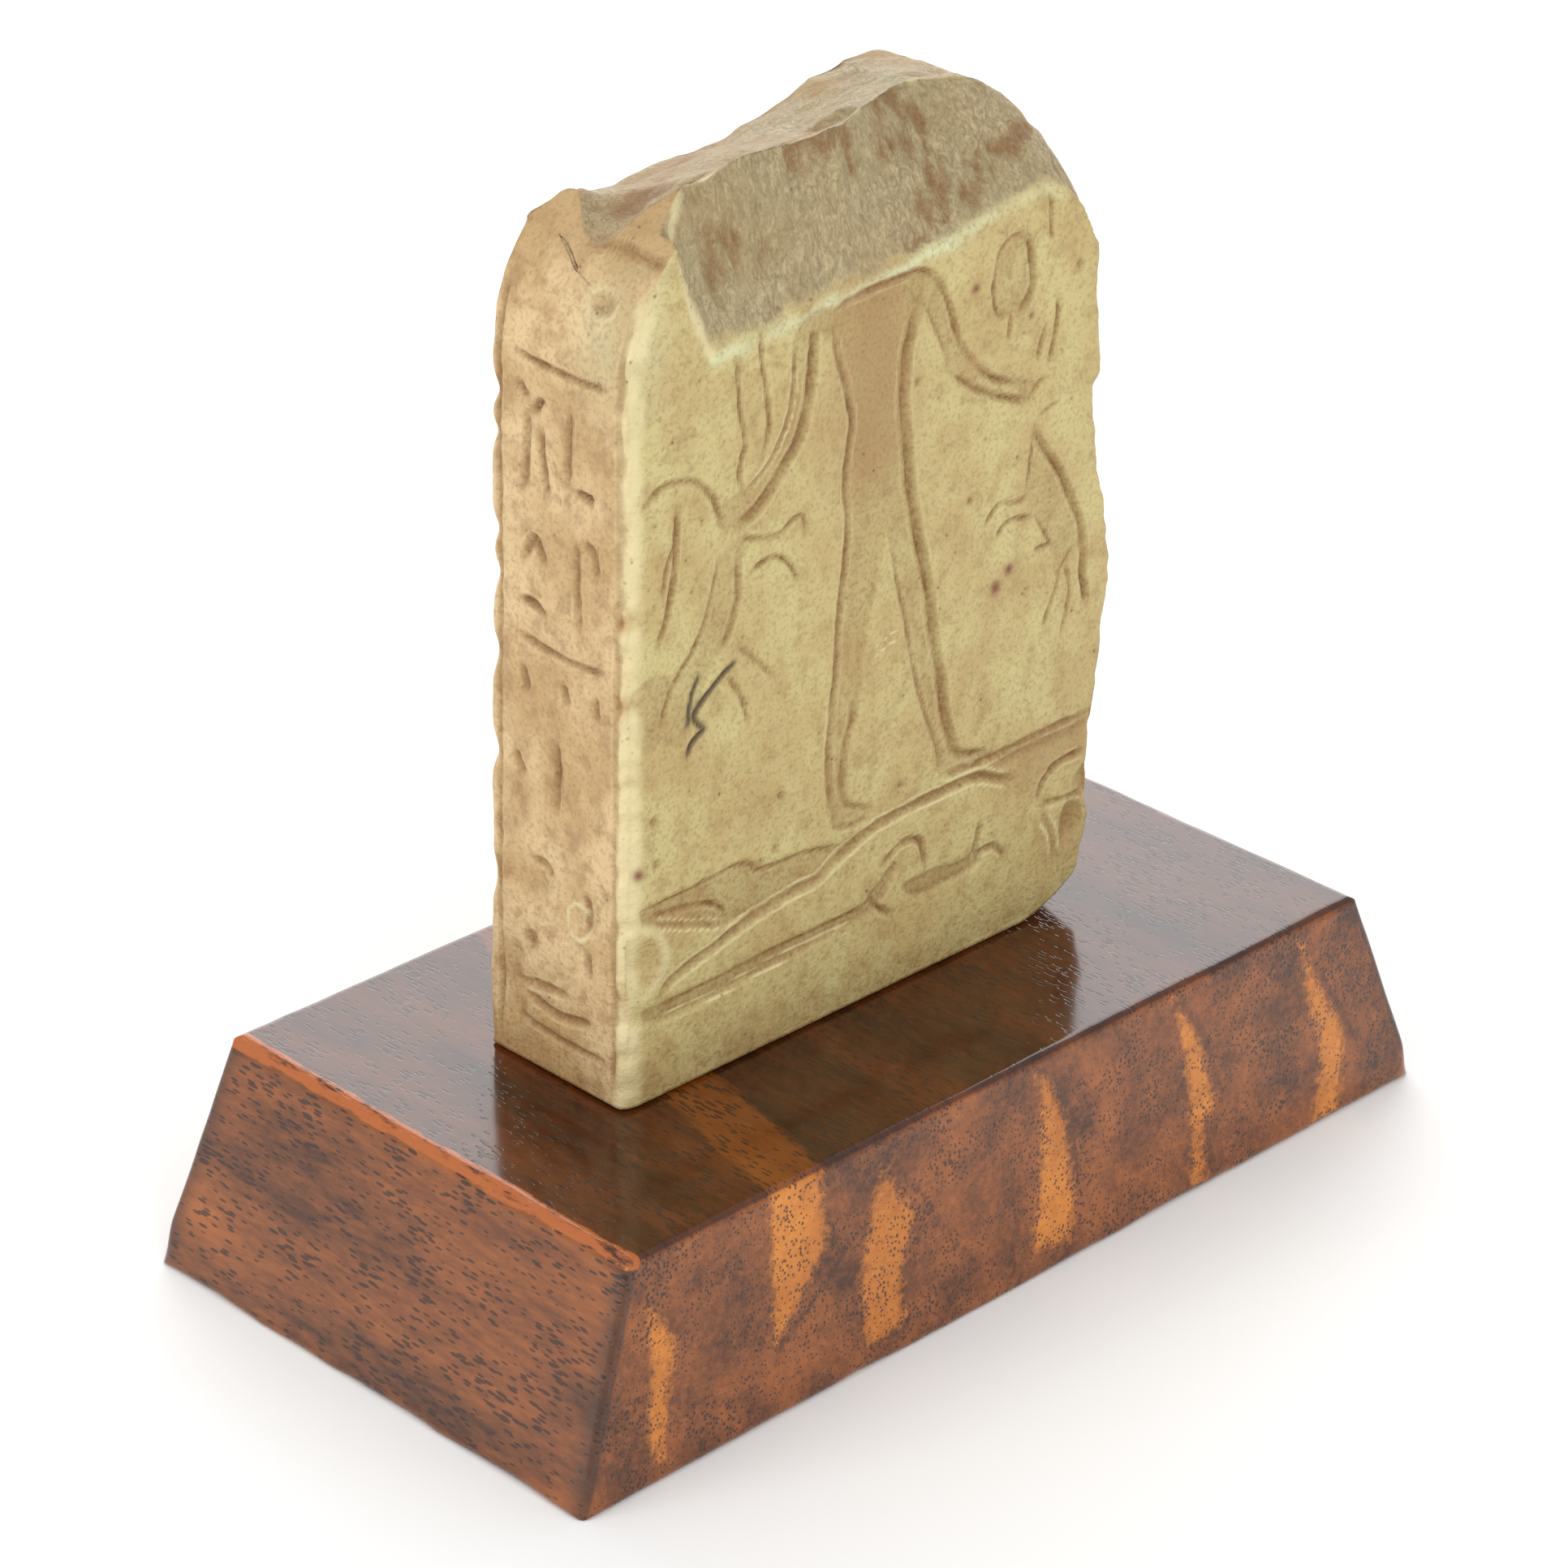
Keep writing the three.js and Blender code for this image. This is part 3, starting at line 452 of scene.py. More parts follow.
def right_edge(v):
    """Where the right face is at each height: chipped and wavy, then round the shoulder."""
    arc = np.sqrt(np.maximum(SHOULDER**2 - (v - SHOULDER_FOOT) ** 2, 0))
    upright = np.interp(v, RIGHT_EDGE[:, 1], RIGHT_EDGE[:, 0])
    return np.where(v < SHOULDER_FOOT, upright, RIGHT_CENTRE + arc)


def between(pairs, value):
    """The second numbers of the pairs, read at a place among the first."""
    firsts, seconds = zip(*pairs)
    return np.interp(value, firsts, seconds)


# The break: it starts on the face, climbs to a ridge behind the face, and falls to the back.
# Heights and depths in millimetres over the distance across, or over the share from -1 to 1
# across the slab, or from 0 to 1 through it.
BREAK_LINE = [(-25.5, 88), (-24.2, 83), (-22.8, 77), (-20.5, 72.2), (-13.5, 72.7), (-2.3, 73.9),
              (11, 75.5), (17, 77), (23, 77.8), (26, 76), (28, 74), (30, 70)]
RIDGE_DEPTH = [(-25, 2.5), (-20, 4.4), (-12, 5), (-4, 4.2), (0, 4.6), (5, 6.4), (10, 8.4),
               (14, 9.2), (20, 7.5), (26, 6.5)]
RIDGE_TOP = [(-1, 87.1), (-0.8, 87.8), (-0.4, 87.9), (0, 88.1), (0.5, 88.2), (0.8, 88), (1, 87.2)]
BACK_TOP = [(-1, 80), (-0.89, 81.7), (-0.77, 82.7), (-0.6, 82.4), (-0.46, 83.1), (-0.31, 83.5),
            (-0.15, 83.2), (0.02, 84.2), (0.2, 85.2), (0.44, 86.7), (0.75, 87.6), (0.93, 87.3), (1, 86.6)]
END_TOP = [(0, 87.1), (0.12, 85.2), (0.22, 83.1), (0.34, 82.2), (0.46, 82.7), (0.6, 84.1), (0.74, 85.1),
           (0.86, 84.6), (1, 82.2)]

STONE_GRID = (192, 48, 276)
place, stone_faces = block_skin(
    STONE_GRID, {"back": (2, 2), "right": (2, 2), "bottom": (1, STONE_GRID[1])}
)
on = {
    "front": place[:, 1] == 0,
    "back": place[:, 1] == STONE_GRID[1],
    "left": place[:, 0] == 0,
    "right": place[:, 0] == STONE_GRID[0],
    "top": place[:, 2] == STONE_GRID[2],
    "bottom": place[:, 2] == 0,
}
# Places on the slab: u across from its middle, v up from its foot, w back from its front.
share = place / np.array(STONE_GRID)
across, through, rise = share[:, 0] * 2 - 1, share[:, 1], share[:, 2]
through = through - 0.35 / (2 * np.pi) * np.sin(2 * np.pi * through)
ridge_top, back_top = between(RIDGE_TOP, across), between(BACK_TOP, across)
lid = ridge_top + (back_top - ridge_top) * through**0.8
end_fall = step(-across, 0.72, 1)
lid += (between(END_TOP, through) - lid) * end_fall
v = rise * lid
u = left_edge(v) + (right_edge(v) - left_edge(v)) * share[:, 0]
front_v = rise * ridge_top
front_u = left_edge(front_v) + (right_edge(front_v) - left_edge(front_v)) * share[:, 0]
outline_top = SHOULDER_FOOT + np.sqrt(
    np.maximum(SHOULDER**2 - np.clip(np.abs(front_u) - 12.75, 0, SHOULDER) ** 2, 0)
)
start = between(BREAK_LINE, front_u)
climb = np.clip((front_v - start) / np.maximum(outline_top + 0.2 - start, 0.5), 0, 1)
band_depth = between(RIDGE_DEPTH, front_u) * climb ** (1 / 0.9)
front_w = FACE_TAPER * front_v + band_depth
back_w = THICK - FACE_TAPER * v
w = front_w + (back_w - front_w) * through

# Wear of the upright arrises, with notches down the back ones.
NOTCHES = [(67, 1.5), (63, 1.3), (53.5, 1.4), (49, 1.8), (41, 2.1), (31, 1.7), (18, 2.4)]
level = np.stack([np.zeros(len(v)), np.zeros(len(v)), v], axis=1)
fray = 1 + 0.3 * drift(level, 3.1, 11) + 0.2 * drift(level, 1.1, 12)


def notched(offset):
    """Radius of a back arris: worn a little, and more where a chip was struck off."""
    radius = 0.7 + 0.3 * drift(level + offset, 4, 13)
    for at, half in NOTCHES:
        radius += 1.5 * np.exp(-(((v - at - offset) / half) ** 2))
    return radius


front_left = (3.1 * fray, 1.6 * fray)
front_right = (1.0 * fray, 0.9 * fray)
from_left, from_right = u - left_edge(v), right_edge(v) - u
from_front, from_back = w - front_w, back_w - w
SHARP = 0.5  # the arris is left sharp where the break begins
handled = 1 - np.maximum(step(band_depth, 0.1, 1), step(front_v, 76, 84))
radii = [SHARP + (radius - SHARP) * handled for radius in front_left]
from_left, from_front = rounded(from_left, from_front, *radii)
from_left, from_back = rounded(from_left, from_back, notched(0), notched(0))
in_front_half = through < 0.5
u = np.where(share[:, 0] < 0.5, left_edge(v) + from_left, u)
w = np.where(in_front_half, front_w + from_front, back_w - from_back)
from_front, from_back = w - front_w, back_w - w
from_right, from_front = rounded(from_right, from_front, *front_right)
from_right, from_back = rounded(from_right, from_back, notched(5), notched(5))
u = np.where(share[:, 0] >= 0.5, right_edge(v) - from_right, u)
w = np.where(in_front_half, front_w + from_front, back_w - from_back)

# What the carving and the wear do to each vertex: depth in millimetres, and marks for the finish.
depth = np.zeros(len(u))
# Real dirt with painted shade over it, darkest in the cuts, cracks, pits and hollows.
dirt_and_shade = np.zeros(len(u))
worn = np.zeros(len(u))
soot = np.zeros(len(u))
FACE_PLACES = {
    "front": np.stack([u, v], axis=1),
    "left": np.stack([THICK / 2 - w, v], axis=1),
    "back": np.stack([-u, v], axis=1),
}


def nearby(face, path, reach):
    """Indices of a face's vertices around a path, and their places on the face."""
    spots = FACE_PLACES[face]
    low, high = np.min(path, axis=0) - reach, np.max(path, axis=0) + reach
    close = on[face] & np.all((spots > low) & (spots < high), axis=1)
    found = np.nonzero(close)[0]
    return found, spots[found]


def cut(face, points, width, deep, stain_and_shade=0.9, rim=0.5, fade=0.14, seed=0):
    """A groove cut along a line, dirty and painted with shade at the bottom, and rubbed pale on its two
    rims.
    """
    path = curved(points) if len(points) > 2 else np.array(points, float)
    found, spots = nearby(face, path, 2.5 * width)
    if not len(found):
        return
    away, along = distance_to(spots, path)
    wobble = np.stack([spots[:, 0], spots[:, 1], np.full(len(spots), float(seed))], axis=1)
    uneven = 1 + 0.3 * drift(wobble, 2.3, 21)
    away = np.maximum(away + 0.08 * drift(wobble, 0.9, 22), 0) / (0.42 * width)
    ends = step(along, 0, fade) * step(1 - along, 0, fade)
    bed = np.exp(-1.5 * away**2) * (0.25 + 0.75 * ends) * uneven
    depth[found] = np.maximum(depth[found], deep * bed)
    # Dirt with painted shade, darkest along the bottom of the groove.
    dirt_and_shade[found] = np.maximum(dirt_and_shade[found], stain_and_shade * np.exp(-1.1 * away**2) * (0.4 + 0.6 * ends) * uneven)
    worn[found] = np.maximum(worn[found], rim * ends * np.exp(-(((away - 1.9) / 0.6) ** 2)))


def sink(face, outline, deep, level_in=0.35, roll=1.4, stain_and_shade=0.35):
    """A figure sunk below the ground: steep at its outline, and swelling again inside it."""
    ring = curved([*outline, outline[0]])
    found, spots = nearby(face, ring, 1.0)
    away, _ = distance_to(spots, ring, closed=True)
    within = inside(spots, ring)
    bed = level_in + (1 - level_in) * np.exp(-away / roll)
    wall = np.exp(-((away / 0.28) ** 2))
    depth[found] += deep * np.where(within, bed, wall)
    # Dirt with painted shade, darker inside the sunk figure and along its walls.
    dirt_and_shade[found] = np.maximum(dirt_and_shade[found], stain_and_shade * np.where(within, 0.55 + 0.45 * bed, wall))


# The standing figure.
BODY = [(-5, 72.2), (-4.5, 68), (-3.4, 64.5), (-2.6, 61), (-3.3, 56), (-3, 51), (-3.8, 44),
        (-4.5, 35), (-5.2, 29), (-5, 23.5), (-4.6, 21.4), (-3, 19.9), (0.1, 19.5), (0.4, 20.3),
        (-1.6, 21.2), (-2.9, 22.6), (-3.2, 25.5), (-2.2, 30.3), (-1.2, 37), (0.6, 44), (2, 49.4),
        (3.4, 45), (5.4, 36), (7, 30), (8.4, 26.4), (9.6, 23.4), (10.2, 20.7), (13.4, 20.2),
        (17, 20.2), (14, 21.5), (12.3, 22.4), (11, 25), (10, 30), (8.6, 36.6), (7.6, 42),
        (6.1, 48.6), (4.9, 54), (4.1, 60), (4.5, 66), (5.4, 70.2), (6.4, 72.8), (0, 73.4)]
sink("front", BODY, 0.42, level_in=0.5, roll=1.6, stain_and_shade=0.3)
cut("front", [(-5, 71), (-4.6, 68), (-3.8, 66), (-3, 63), (-2.6, 61), (-3.2, 57), (-3.3, 55), (-3, 51),
              (-3.3, 47), (-3.9, 43), (-4.4, 36), (-5, 31), (-5.2, 27), (-5, 23.6), (-4.6, 22)],
    1.0, 0.55, fade=0.04, rim=0.5)
cut("front", [(5.4, 70.4), (4.9, 68), (4.4, 66), (4.1, 63), (4.1, 60), (4.6, 57), (5.2, 52), (6.3, 47),
              (7.6, 42), (8.5, 37), (9.9, 31), (10.5, 27), (11.6, 23.5), (12.5, 22), (14, 21.4),
              (17, 20.3)],
    1.15, 0.7, fade=0.04, rim=0.5)
cut("front", [(-1.4, 34), (-2.2, 30.3), (-2.9, 28.5), (-3.3, 25.5), (-3.2, 23), (-2.5, 21.8), (-1, 21),
              (0.3, 20.3)], 0.8, 0.5)
cut("front", [(3, 48), (3.7, 43), (4.8, 39), (6, 34), (7.5, 29), (8.3, 26.5), (9.2, 24.5), (10.1, 21)],
    0.8, 0.42)
cut("front", [(-4.8, 20.8), (-4, 19.9), (-2, 19.5), (0.2, 19.4)], 0.7, 0.35)
cut("front", [(10.1, 20.5), (13, 20), (17, 20)], 0.7, 0.35)
cut("front", [(-5, 72.6), (-2, 73.2), (5, 73.5), (7, 73), (8, 72)], 0.9, 0.4)
cut("front", [(0, 36.6), (2, 37.3), (4.2, 37.7)], 0.5, 0.15, stain_and_shade=0, rim=0.9)
# Its arms.
sink("front", [(-5, 70.6), (-5.6, 72.4), (-7, 73.1), (-8.9, 72.4), (-10.1, 70.4), (-10.3, 66.4),
               (-11.5, 62.6), (-14.3, 59), (-19.2, 57.2), (-18.6, 55.4), (-15, 56), (-11.2, 59.5),
               (-8.8, 63.5),
               (-7.9, 68.5), (-7.4, 71)], 0.3, level_in=0.4, roll=0.8, stain_and_shade=0.35)
cut("front", [(-7.6, 71.8), (-7.9, 68.5), (-8.2, 66), (-8.8, 63.5), (-9.8, 61), (-11.2, 59.5), (-13, 57.5),
              (-14.8, 56), (-17.4, 55.1)], 1.1, 0.8, fade=0.06)
cut("front", [(-10.2, 71), (-10.3, 66.6), (-11.3, 63), (-13.6, 59.8), (-16.6, 57.8)], 0.7, 0.25, rim=0.7)
sink("front", [(5.4, 73.2), (7.8, 72.6), (9.5, 69.8), (10.9, 66.2), (12.6, 63.4), (15, 60.8),
               (19.6, 58.8), (21.8, 57.6), (20.4, 56.4), (16, 58.3), (12.5, 60.6), (10.3, 62.3),
               (8.9, 65.6), (6.9, 69.6), (5.6, 70.8)], 0.28, level_in=0.35, roll=0.8, stain_and_shade=0.35)
cut("front", [(7.4, 73), (8.4, 71.8), (9.5, 69.9), (10.6, 67), (11.5, 64.8), (12.6, 63.4), (15, 60.8),
              (18, 59.2), (20.5, 58.2)], 0.75, 0.4)
cut("front", [(10.3, 62.2), (12.5, 60.6), (14.2, 59.4), (16, 58.4), (18, 57.5), (21.4, 56.4)], 0.8, 0.5)
cut("front", [(6.6, 70), (8.2, 67), (9.5, 64.3)], 0.6, 0.25)
# Two snakes beside the left arm.
for snake in (
    [(-17.6, 71.5), (-17.3, 69), (-17, 66.5), (-16.3, 63), (-16.8, 61.5), (-17, 60), (-16.5, 57.6)],
    [(-14.6, 73), (-14.3, 70), (-13.8, 67.5), (-13.3, 64), (-13.8, 62), (-14.3, 60.5)],
):
    cut("front", snake, 0.6, 0.3)
# The animal in the left hand.
sink("front", [(-17, 53.6), (-17.2, 49), (-18.4, 44.8), (-20, 43.4), (-21.6, 41), (-22.8, 37.6),
               (-24.6, 35.6), (-26.6, 38), (-25.4, 42), (-22.7, 45), (-20.8, 48.5), (-19.6, 52)],
               0.22, roll=1.1, stain_and_shade=0.3)
cut("front", [(-28.6, 60.4), (-27.6, 61.3), (-25.5, 61.8), (-22.5, 61.1), (-20.3, 58.8), (-19.5, 57),
              (-18.4, 55.2)], 0.8, 0.32, rim=0.5)
cut("front", [(-24.9, 59.4), (-24.8, 57), (-25.2, 52.5), (-26.2, 48.5), (-27.4, 46.2)], 0.75, 0.38)
cut("front", [(-25.2, 55.6), (-26, 53.6), (-26.6, 51.2)], 0.6, 0.25)
cut("front", [(-19.5, 53), (-20.8, 48.5), (-22.5, 45), (-24.8, 42.4), (-26, 40), (-27, 37)], 0.7, 0.3)
cut("front", [(-17.1, 53), (-17.3, 48), (-18.6, 44.5), (-19.6, 43.4)], 0.75, 0.42)
cut("front", [(-17, 53.8), (-13.6, 52.9), (-12, 52.8), (-10, 53.8), (-9, 53.6), (-8.7, 52)], 0.6, 0.32)
cut("front", [(-15.8, 50.2), (-12.8, 50.8), (-10.8, 49.4), (-9.8, 47.6)], 0.6, 0.3)
cut("front", [(-17.2, 43.1), (-15.5, 41.7), (-12.8, 38.8)], 0.6, 0.32)
cut("front", [(-18.4, 40.4), (-16.8, 38), (-15.8, 35)], 0.6, 0.3)
sink("front", [(-29.9, 42.4), (-30.1, 39), (-28.4, 36), (-26.6, 38), (-25.5, 41.8), (-27.6, 43.4)],
     0.2, stain_and_shade=0.3)
# Three short cracks by it, black with old dirt and painted shade.
for crack in (
    [(-17.8, 41.7), (-20, 40.4), (-22.2, 38.6), (-22.6, 37.6), (-21.5, 36.2)],
    [(-21.5, 36.2), (-23, 35.3), (-23.5, 34.5)],
    [(-22.2, 41.6), (-22.9, 40.2), (-23.4, 37.2)],
):
    cut("front", crack, 0.55, 0.35, stain_and_shade=1.0)
    found, spots = nearby("front", np.array(crack), 1.2)
    away, _ = distance_to(spots, curved(crack))
    soot[found] = np.maximum(soot[found], np.exp(-((away / 0.32) ** 2)))
# The animal in the right hand, and the strokes by that hand.
sink("front", [(21.8, 53.4), (23.9, 50.2), (26, 47), (28.4, 42.6), (29.3, 39), (28.3, 38.6), (26, 36.8),
               (25, 40.2), (22.7, 43.8), (21.3, 47.2), (21.6, 51)], 0.25, roll=1.0, stain_and_shade=0.32)
cut("front", [(21.9, 53.6), (22.7, 51.8), (23.8, 50.3), (25.8, 47.6), (27.8, 43.7), (28.8, 41.8),
              (29.3, 40), (29.5, 38), (29.5, 36), (30.2, 32.3)], 1.0, 0.65, fade=0.06)
for path in (
    [(21.8, 53), (21.6, 51), (21.2, 47.5)], [(15.3, 45), (17.2, 46.8), (20, 46.3), (21.6, 46.8)],
    [(16.8, 43.3), (18.6, 44.7), (22.4, 44.1)], [(22.4, 44), (24.9, 40.3)],
    [(22.5, 40.5), (24.8, 40.5)], [(28.2, 39.2), (26.3, 37.3), (25.6, 35.5), (23.9, 31.9)],
    [(27, 37.5), (27.6, 34.5), (26.6, 30.4)], [(22.4, 54.5), (24.7, 55.2)],
    [(21.3, 56.6), (22.3, 57.9), (23.2, 58)], [(22, 60.5), (23, 63.5)],
    [(23.6, 59.6), (24.7, 63.5), (24.6, 66)],
):
    cut("front", path, 0.6, 0.3)
# The oval loop above it.
LOOP = [(18.5 + 2.6 * math.cos(t), 69.8 + 3.8 * math.sin(t)) for t in np.arange(12) * math.pi / 6]
sink("front", LOOP, 0.16, stain_and_shade=0.3)
cut("front", [(20.3, 73.3), (20.9, 70.8), (21.2, 68.2), (20.7, 66.9), (19.2, 65.8)], 0.9, 0.6)
cut("front", [(20.3, 73.4), (18.4, 73.8), (16.8, 73), (16.1, 72), (15.7, 69), (16.5, 66.4), (18.2, 65.8)],
    0.6, 0.28)
cut("front", [(18.3, 66), (18, 63.6)], 0.6, 0.25)
cut("front", [(23.2, 76.4), (23.4, 72)], 0.6, 0.22)
# The crocodiles underfoot and the lines of the ground.
sink("front", [(-29.4, 20.1), (-24, 20.2), (-17, 20.6), (-15.2, 20), (-13.5, 18.9), (-8.5, 18.7),
(-4, 17.7),
               (0, 18.2), (0, 17.8), (-4, 16.5), (-6.5, 15.3), (-12, 14.7), (-16, 14.8), (-18.6, 15.2),
               (-22, 16.4), (-26, 17.8), (-28.8, 18.9)], 0.35, level_in=0.5, roll=0.9, stain_and_shade=0.5)
cut("front", [(-29.3, 20.2), (-24, 20.3), (-18.5, 20.6), (-17, 20.6), (-15.2, 20), (-14.4, 19.1),
              (-8.5, 18.7), (-5, 18.1), (-3.6, 17.6)], 0.6, 0.35)
cut("front", [(-28.6, 19.3), (-25, 18.8), (-21, 18), (-19, 16.7), (-18.3, 15.5)], 0.7, 0.5, stain_and_shade=1.0)
cut("front", [(-28.5, 18.8), (-26, 17.6), (-20.5, 15.6), (-18.5, 15)], 0.6, 0.3, rim=0.9)
cut("front", [(-27.2, 10.1), (-25.4, 11.8), (-20, 13.2), (-16, 14.2), (-10, 15.1), (-6.5, 15.3), (-4, 16.5),
              (0, 17.9), (3, 18.4), (10, 18.7), (15, 18.6), (19, 17), (20.6, 16.5)],
    1.0, 0.6, rim=0.8, fade=0.04)
cut("front", [(10.2, 20.5), (17, 20.1), (24, 20.3), (31.5, 20.3)], 0.8, 0.35)
cut("front", [(17, 18.6), (21, 19.2), (26, 19), (31.5, 19.2)], 1.6, 0.25, stain_and_shade=0.6, rim=0)
sink("front", [(-29, 9.3), (-22, 9.4), (-10, 9.8), (-1, 10), (1, 11), (3.8, 12.8), (1.8, 9.7), (-0.5, 9.1),
               (-10, 8.5), (-25, 7.9), (-28.4, 8.4)], 0.35, level_in=0.6, roll=0.7, stain_and_shade=0.55)
cut("front", [(-29, 9.3), (-24, 9.4), (-12, 9.8), (-1, 10), (1, 11), (3.8, 12.7)], 0.7, 0.4, rim=0.3)
cut("front", [(-28.3, 8.4), (-25, 7.8), (-10, 8.5), (-2, 8.5), (-0.5, 9.2)], 0.5, 0.15, stain_and_shade=0.3, rim=1.0)
sink("front", [(5.4, 10), (7.5, 8.6), (14.8, 8.9), (15.4, 10.4), (14, 9.8), (8, 10.3)],
     0.32, stain_and_shade=0.6, roll=0.6)
for path in (
    [(0.5, 11), (1.6, 9.3), (3.6, 7.7)], [(2.3, 13.7), (5, 15), (7.2, 14.5), (7.8, 13.5), (8.2, 11.2)],
    [(15, 10.4), (15.8, 13.2)], [(15.2, 10), (17.5, 10.2), (19, 9), (19.3, 8.3)],
    [(24, 13), (24.8, 14.8), (27, 16), (30.5, 16.2)], [(25, 12.2), (28, 11.7), (31, 11.2)],
):
    cut("front", path, 0.75, 0.45, rim=0.6)
cut("front", [(24.8, 11), (26.2, 8), (26.6, 5.2)], 0.9, 0.3, stain_and_shade=0.4, rim=0.9)

# Plain strokes in rows on the left edge, between two framing lines.
for side in (-7.8, 7.9):
    frame_line = [(side, 1.5), (side - 0.1, 25), (side + 0.1, 52), (side, 78)]
    cut("left", frame_line, 0.7, 0.32, stain_and_shade=0.7, fade=0.02)
for rule in (71.3, 43.8, 4.1):
    cut("left", [(-5.6, rule + 0.5), (-1.5, rule), (2.5, rule - 0.1), (6.4, rule + 0.1)], 0.75, 0.42)
EDGE_STROKES = [
    [(-5.1, 68.9), (-3.9, 67.6)], [(-2, 68), (-3.3, 66.5)], [(-4, 66.2), (-4.1, 62.5), (-4.4, 58.8)],
    [(-2.3, 65.2), (-1.9, 62), (-1.2, 58.6)], [(1.7, 68.2), (1.5, 64.6), (1.5, 61.2)],
    [(2.4, 60.5), (4.6, 60.3)], [(-4.6, 51.8), (-3.1, 54.2), (-1.7, 52)],
    [(2.6, 55.6), (2.6, 51.4), (2.9, 47.2)], [(3.6, 55.9), (4.8, 55.2), (5.4, 53.2)],
    [(-4.9, 47.6), (-3.2, 47.8), (-1.8, 47)], [(-4.6, 41.1), (-4, 38.9)], [(0.9, 41), (1.4, 39.1)],
    [(5.2, 41.1), (5.4, 39.1)], [(-0.1, 34.6), (0.1, 31.2), (-0.3, 27.6)],
    [(-5.8, 32), (-4.6, 30.2)], [(4.1, 20.6), (4.4, 18.6), (4.2, 16.7)], [(4.3, 14.8), (4.4, 12.1)],
    [(-3.2, 21.6), (-1.8, 21.9), (-0.6, 20.6)], [(-5.6, 7.9), (-2, 8.8), (1.4, 9)],
    [(-4.6, 7.1), (0.5, 6.5), (4.6, 7.4)],
]
for number, path in enumerate(EDGE_STROKES):
    cut("left", path, 0.95, 0.65, seed=number, rim=0.55, stain_and_shade=1.0)
cut("left", [(-0.5, 82.1), (4, 82.6), (9, 82.4)], 0.9, 0.3, stain_and_shade=0.7)
cut("left", [(-0.5, 83), (4, 83.4), (9, 83.2)], 0.9, -0.25, stain_and_shade=0, rim=0)

# Ruled rows of plain upright and slanting strokes on the back.
BACK_ROWS, ROW_HEIGHT, FIRST_RULE = 7, 9.6, 8
for row in range(BACK_ROWS + 1):
    rule = FIRST_RULE + row * ROW_HEIGHT
    cut("back", [(-27, rule), (0, rule + 0.25 * math.sin(row * 2.1)), (27, rule)], 0.9, 0.38, fade=0.05)
MARKS_IN_ROW, ROW_REACH = 8, 23.5
for row in range(BACK_ROWS):
    middle = FIRST_RULE + (row + 0.5) * ROW_HEIGHT
    for mark in range(MARKS_IN_ROW):
        at = ROW_REACH * (2 * mark / (MARKS_IN_ROW - 1) - 1) + 0.8 * math.sin(5 * row + 3 * mark)
        half = 2 + 0.8 * math.sin(2 * row + 1.3 * mark)
        slant = 0.9 * math.sin(row + 2.2 * mark)
        cut("back", [(at - slant, middle - half), (at + slant, middle + half)], 0.9, 0.45, seed=mark)


def hollow(face, at, size, deep, stain_and_shade=0.5, rim=0.4):
    """A pit or a shallow worn place, with a rubbed rim."""
    found, spots = nearby(face, np.array([at]), 2 * max(size))
    away = np.hypot(*((spots - at) / size).T)
    depth[found] += deep * np.clip(1 - away**2, 0, 1)
    # Dirt with painted shade, darkest in the middle of the hollow.
    dirt_and_shade[found] = np.maximum(dirt_and_shade[found], stain_and_shade * np.exp(-1.2 * away**2))
    worn[found] = np.maximum(worn[found], rim * np.exp(-(((away - 1.15) / 0.25) ** 2)))


PITS = [(-12.2, 20.6), (-11.6, 25.9), (-27.5, 24.5), (-27.8, 29), (4.4, 21.5), (13.3, 48.4),
        (5.7, 62.7), (27.5, 68.5), (14.9, 10.2)]
for at in PITS:
    hollow("front", at, (0.42, 0.42), 0.3, stain_and_shade=1.0)
# Chips out of the face's two arrises, then pits and worn places on the left edge.
hollow("front", (-30.6, 14.6), (3.6, 3.2), 0.8, stain_and_shade=0.15, rim=0.7)
hollow("front", (28.8, 8), (1.7, 3.3), 0.9, stain_and_shade=0.7)
hollow("front", (31.6, 12.6), (2.6, 2.2), 0.7, stain_and_shade=0.4)
hollow("left", (-3.6, 13), (1.1, 1.2), 0.6, stain_and_shade=1.0)
hollow("left", (4, 78.3), (1.6, 1.1), 0.45, stain_and_shade=0.6, rim=0.6)
hollow("left", (-1.9, 20.3), (1.7, 1.7), 0.15, stain_and_shade=0.2)
hollow("left", (3, 17.5), (1.3, 1.6), 0.2, stain_and_shade=0, rim=0.8)
hollow("left", (-6.4, 8), (2.5, 5), 0.4, stain_and_shade=0.3)

# Depth is taken out along the face's own normal, fading at the arrises.
clear = step(np.minimum(u - left_edge(v), right_edge(v) - u), -0.1, 0.6)
cut_front = np.where(on["front"], depth * clear * (1 - step(band_depth, 0.05, 0.6)), 0)
cut_back = np.where(on["back"], depth, 0)
cut_left = np.where(on["left"] & ~on["front"] & ~on["back"], depth, 0)
lift_left = np.clip((v - SHOULDER_FOOT) / SHOULDER, 0, 1)
u = u + cut_left * np.sqrt(1 - lift_left**2)
w = w + cut_front - cut_back
v = v - cut_left * lift_left

# The lower right corner is broken away.
CORNER_SIZE = 12.0
corner = between([(22.4, 0), (24.6, 0.5), (27, 1.4), (29.4, 2.8), (31, 4.6), (34, 7)], u)
corner = corner * np.clip(1 - w / CORNER_SIZE, 0, 1)
v = np.where(v < CORNER_SIZE, corner + v * (1 - corner / CORNER_SIZE), v)

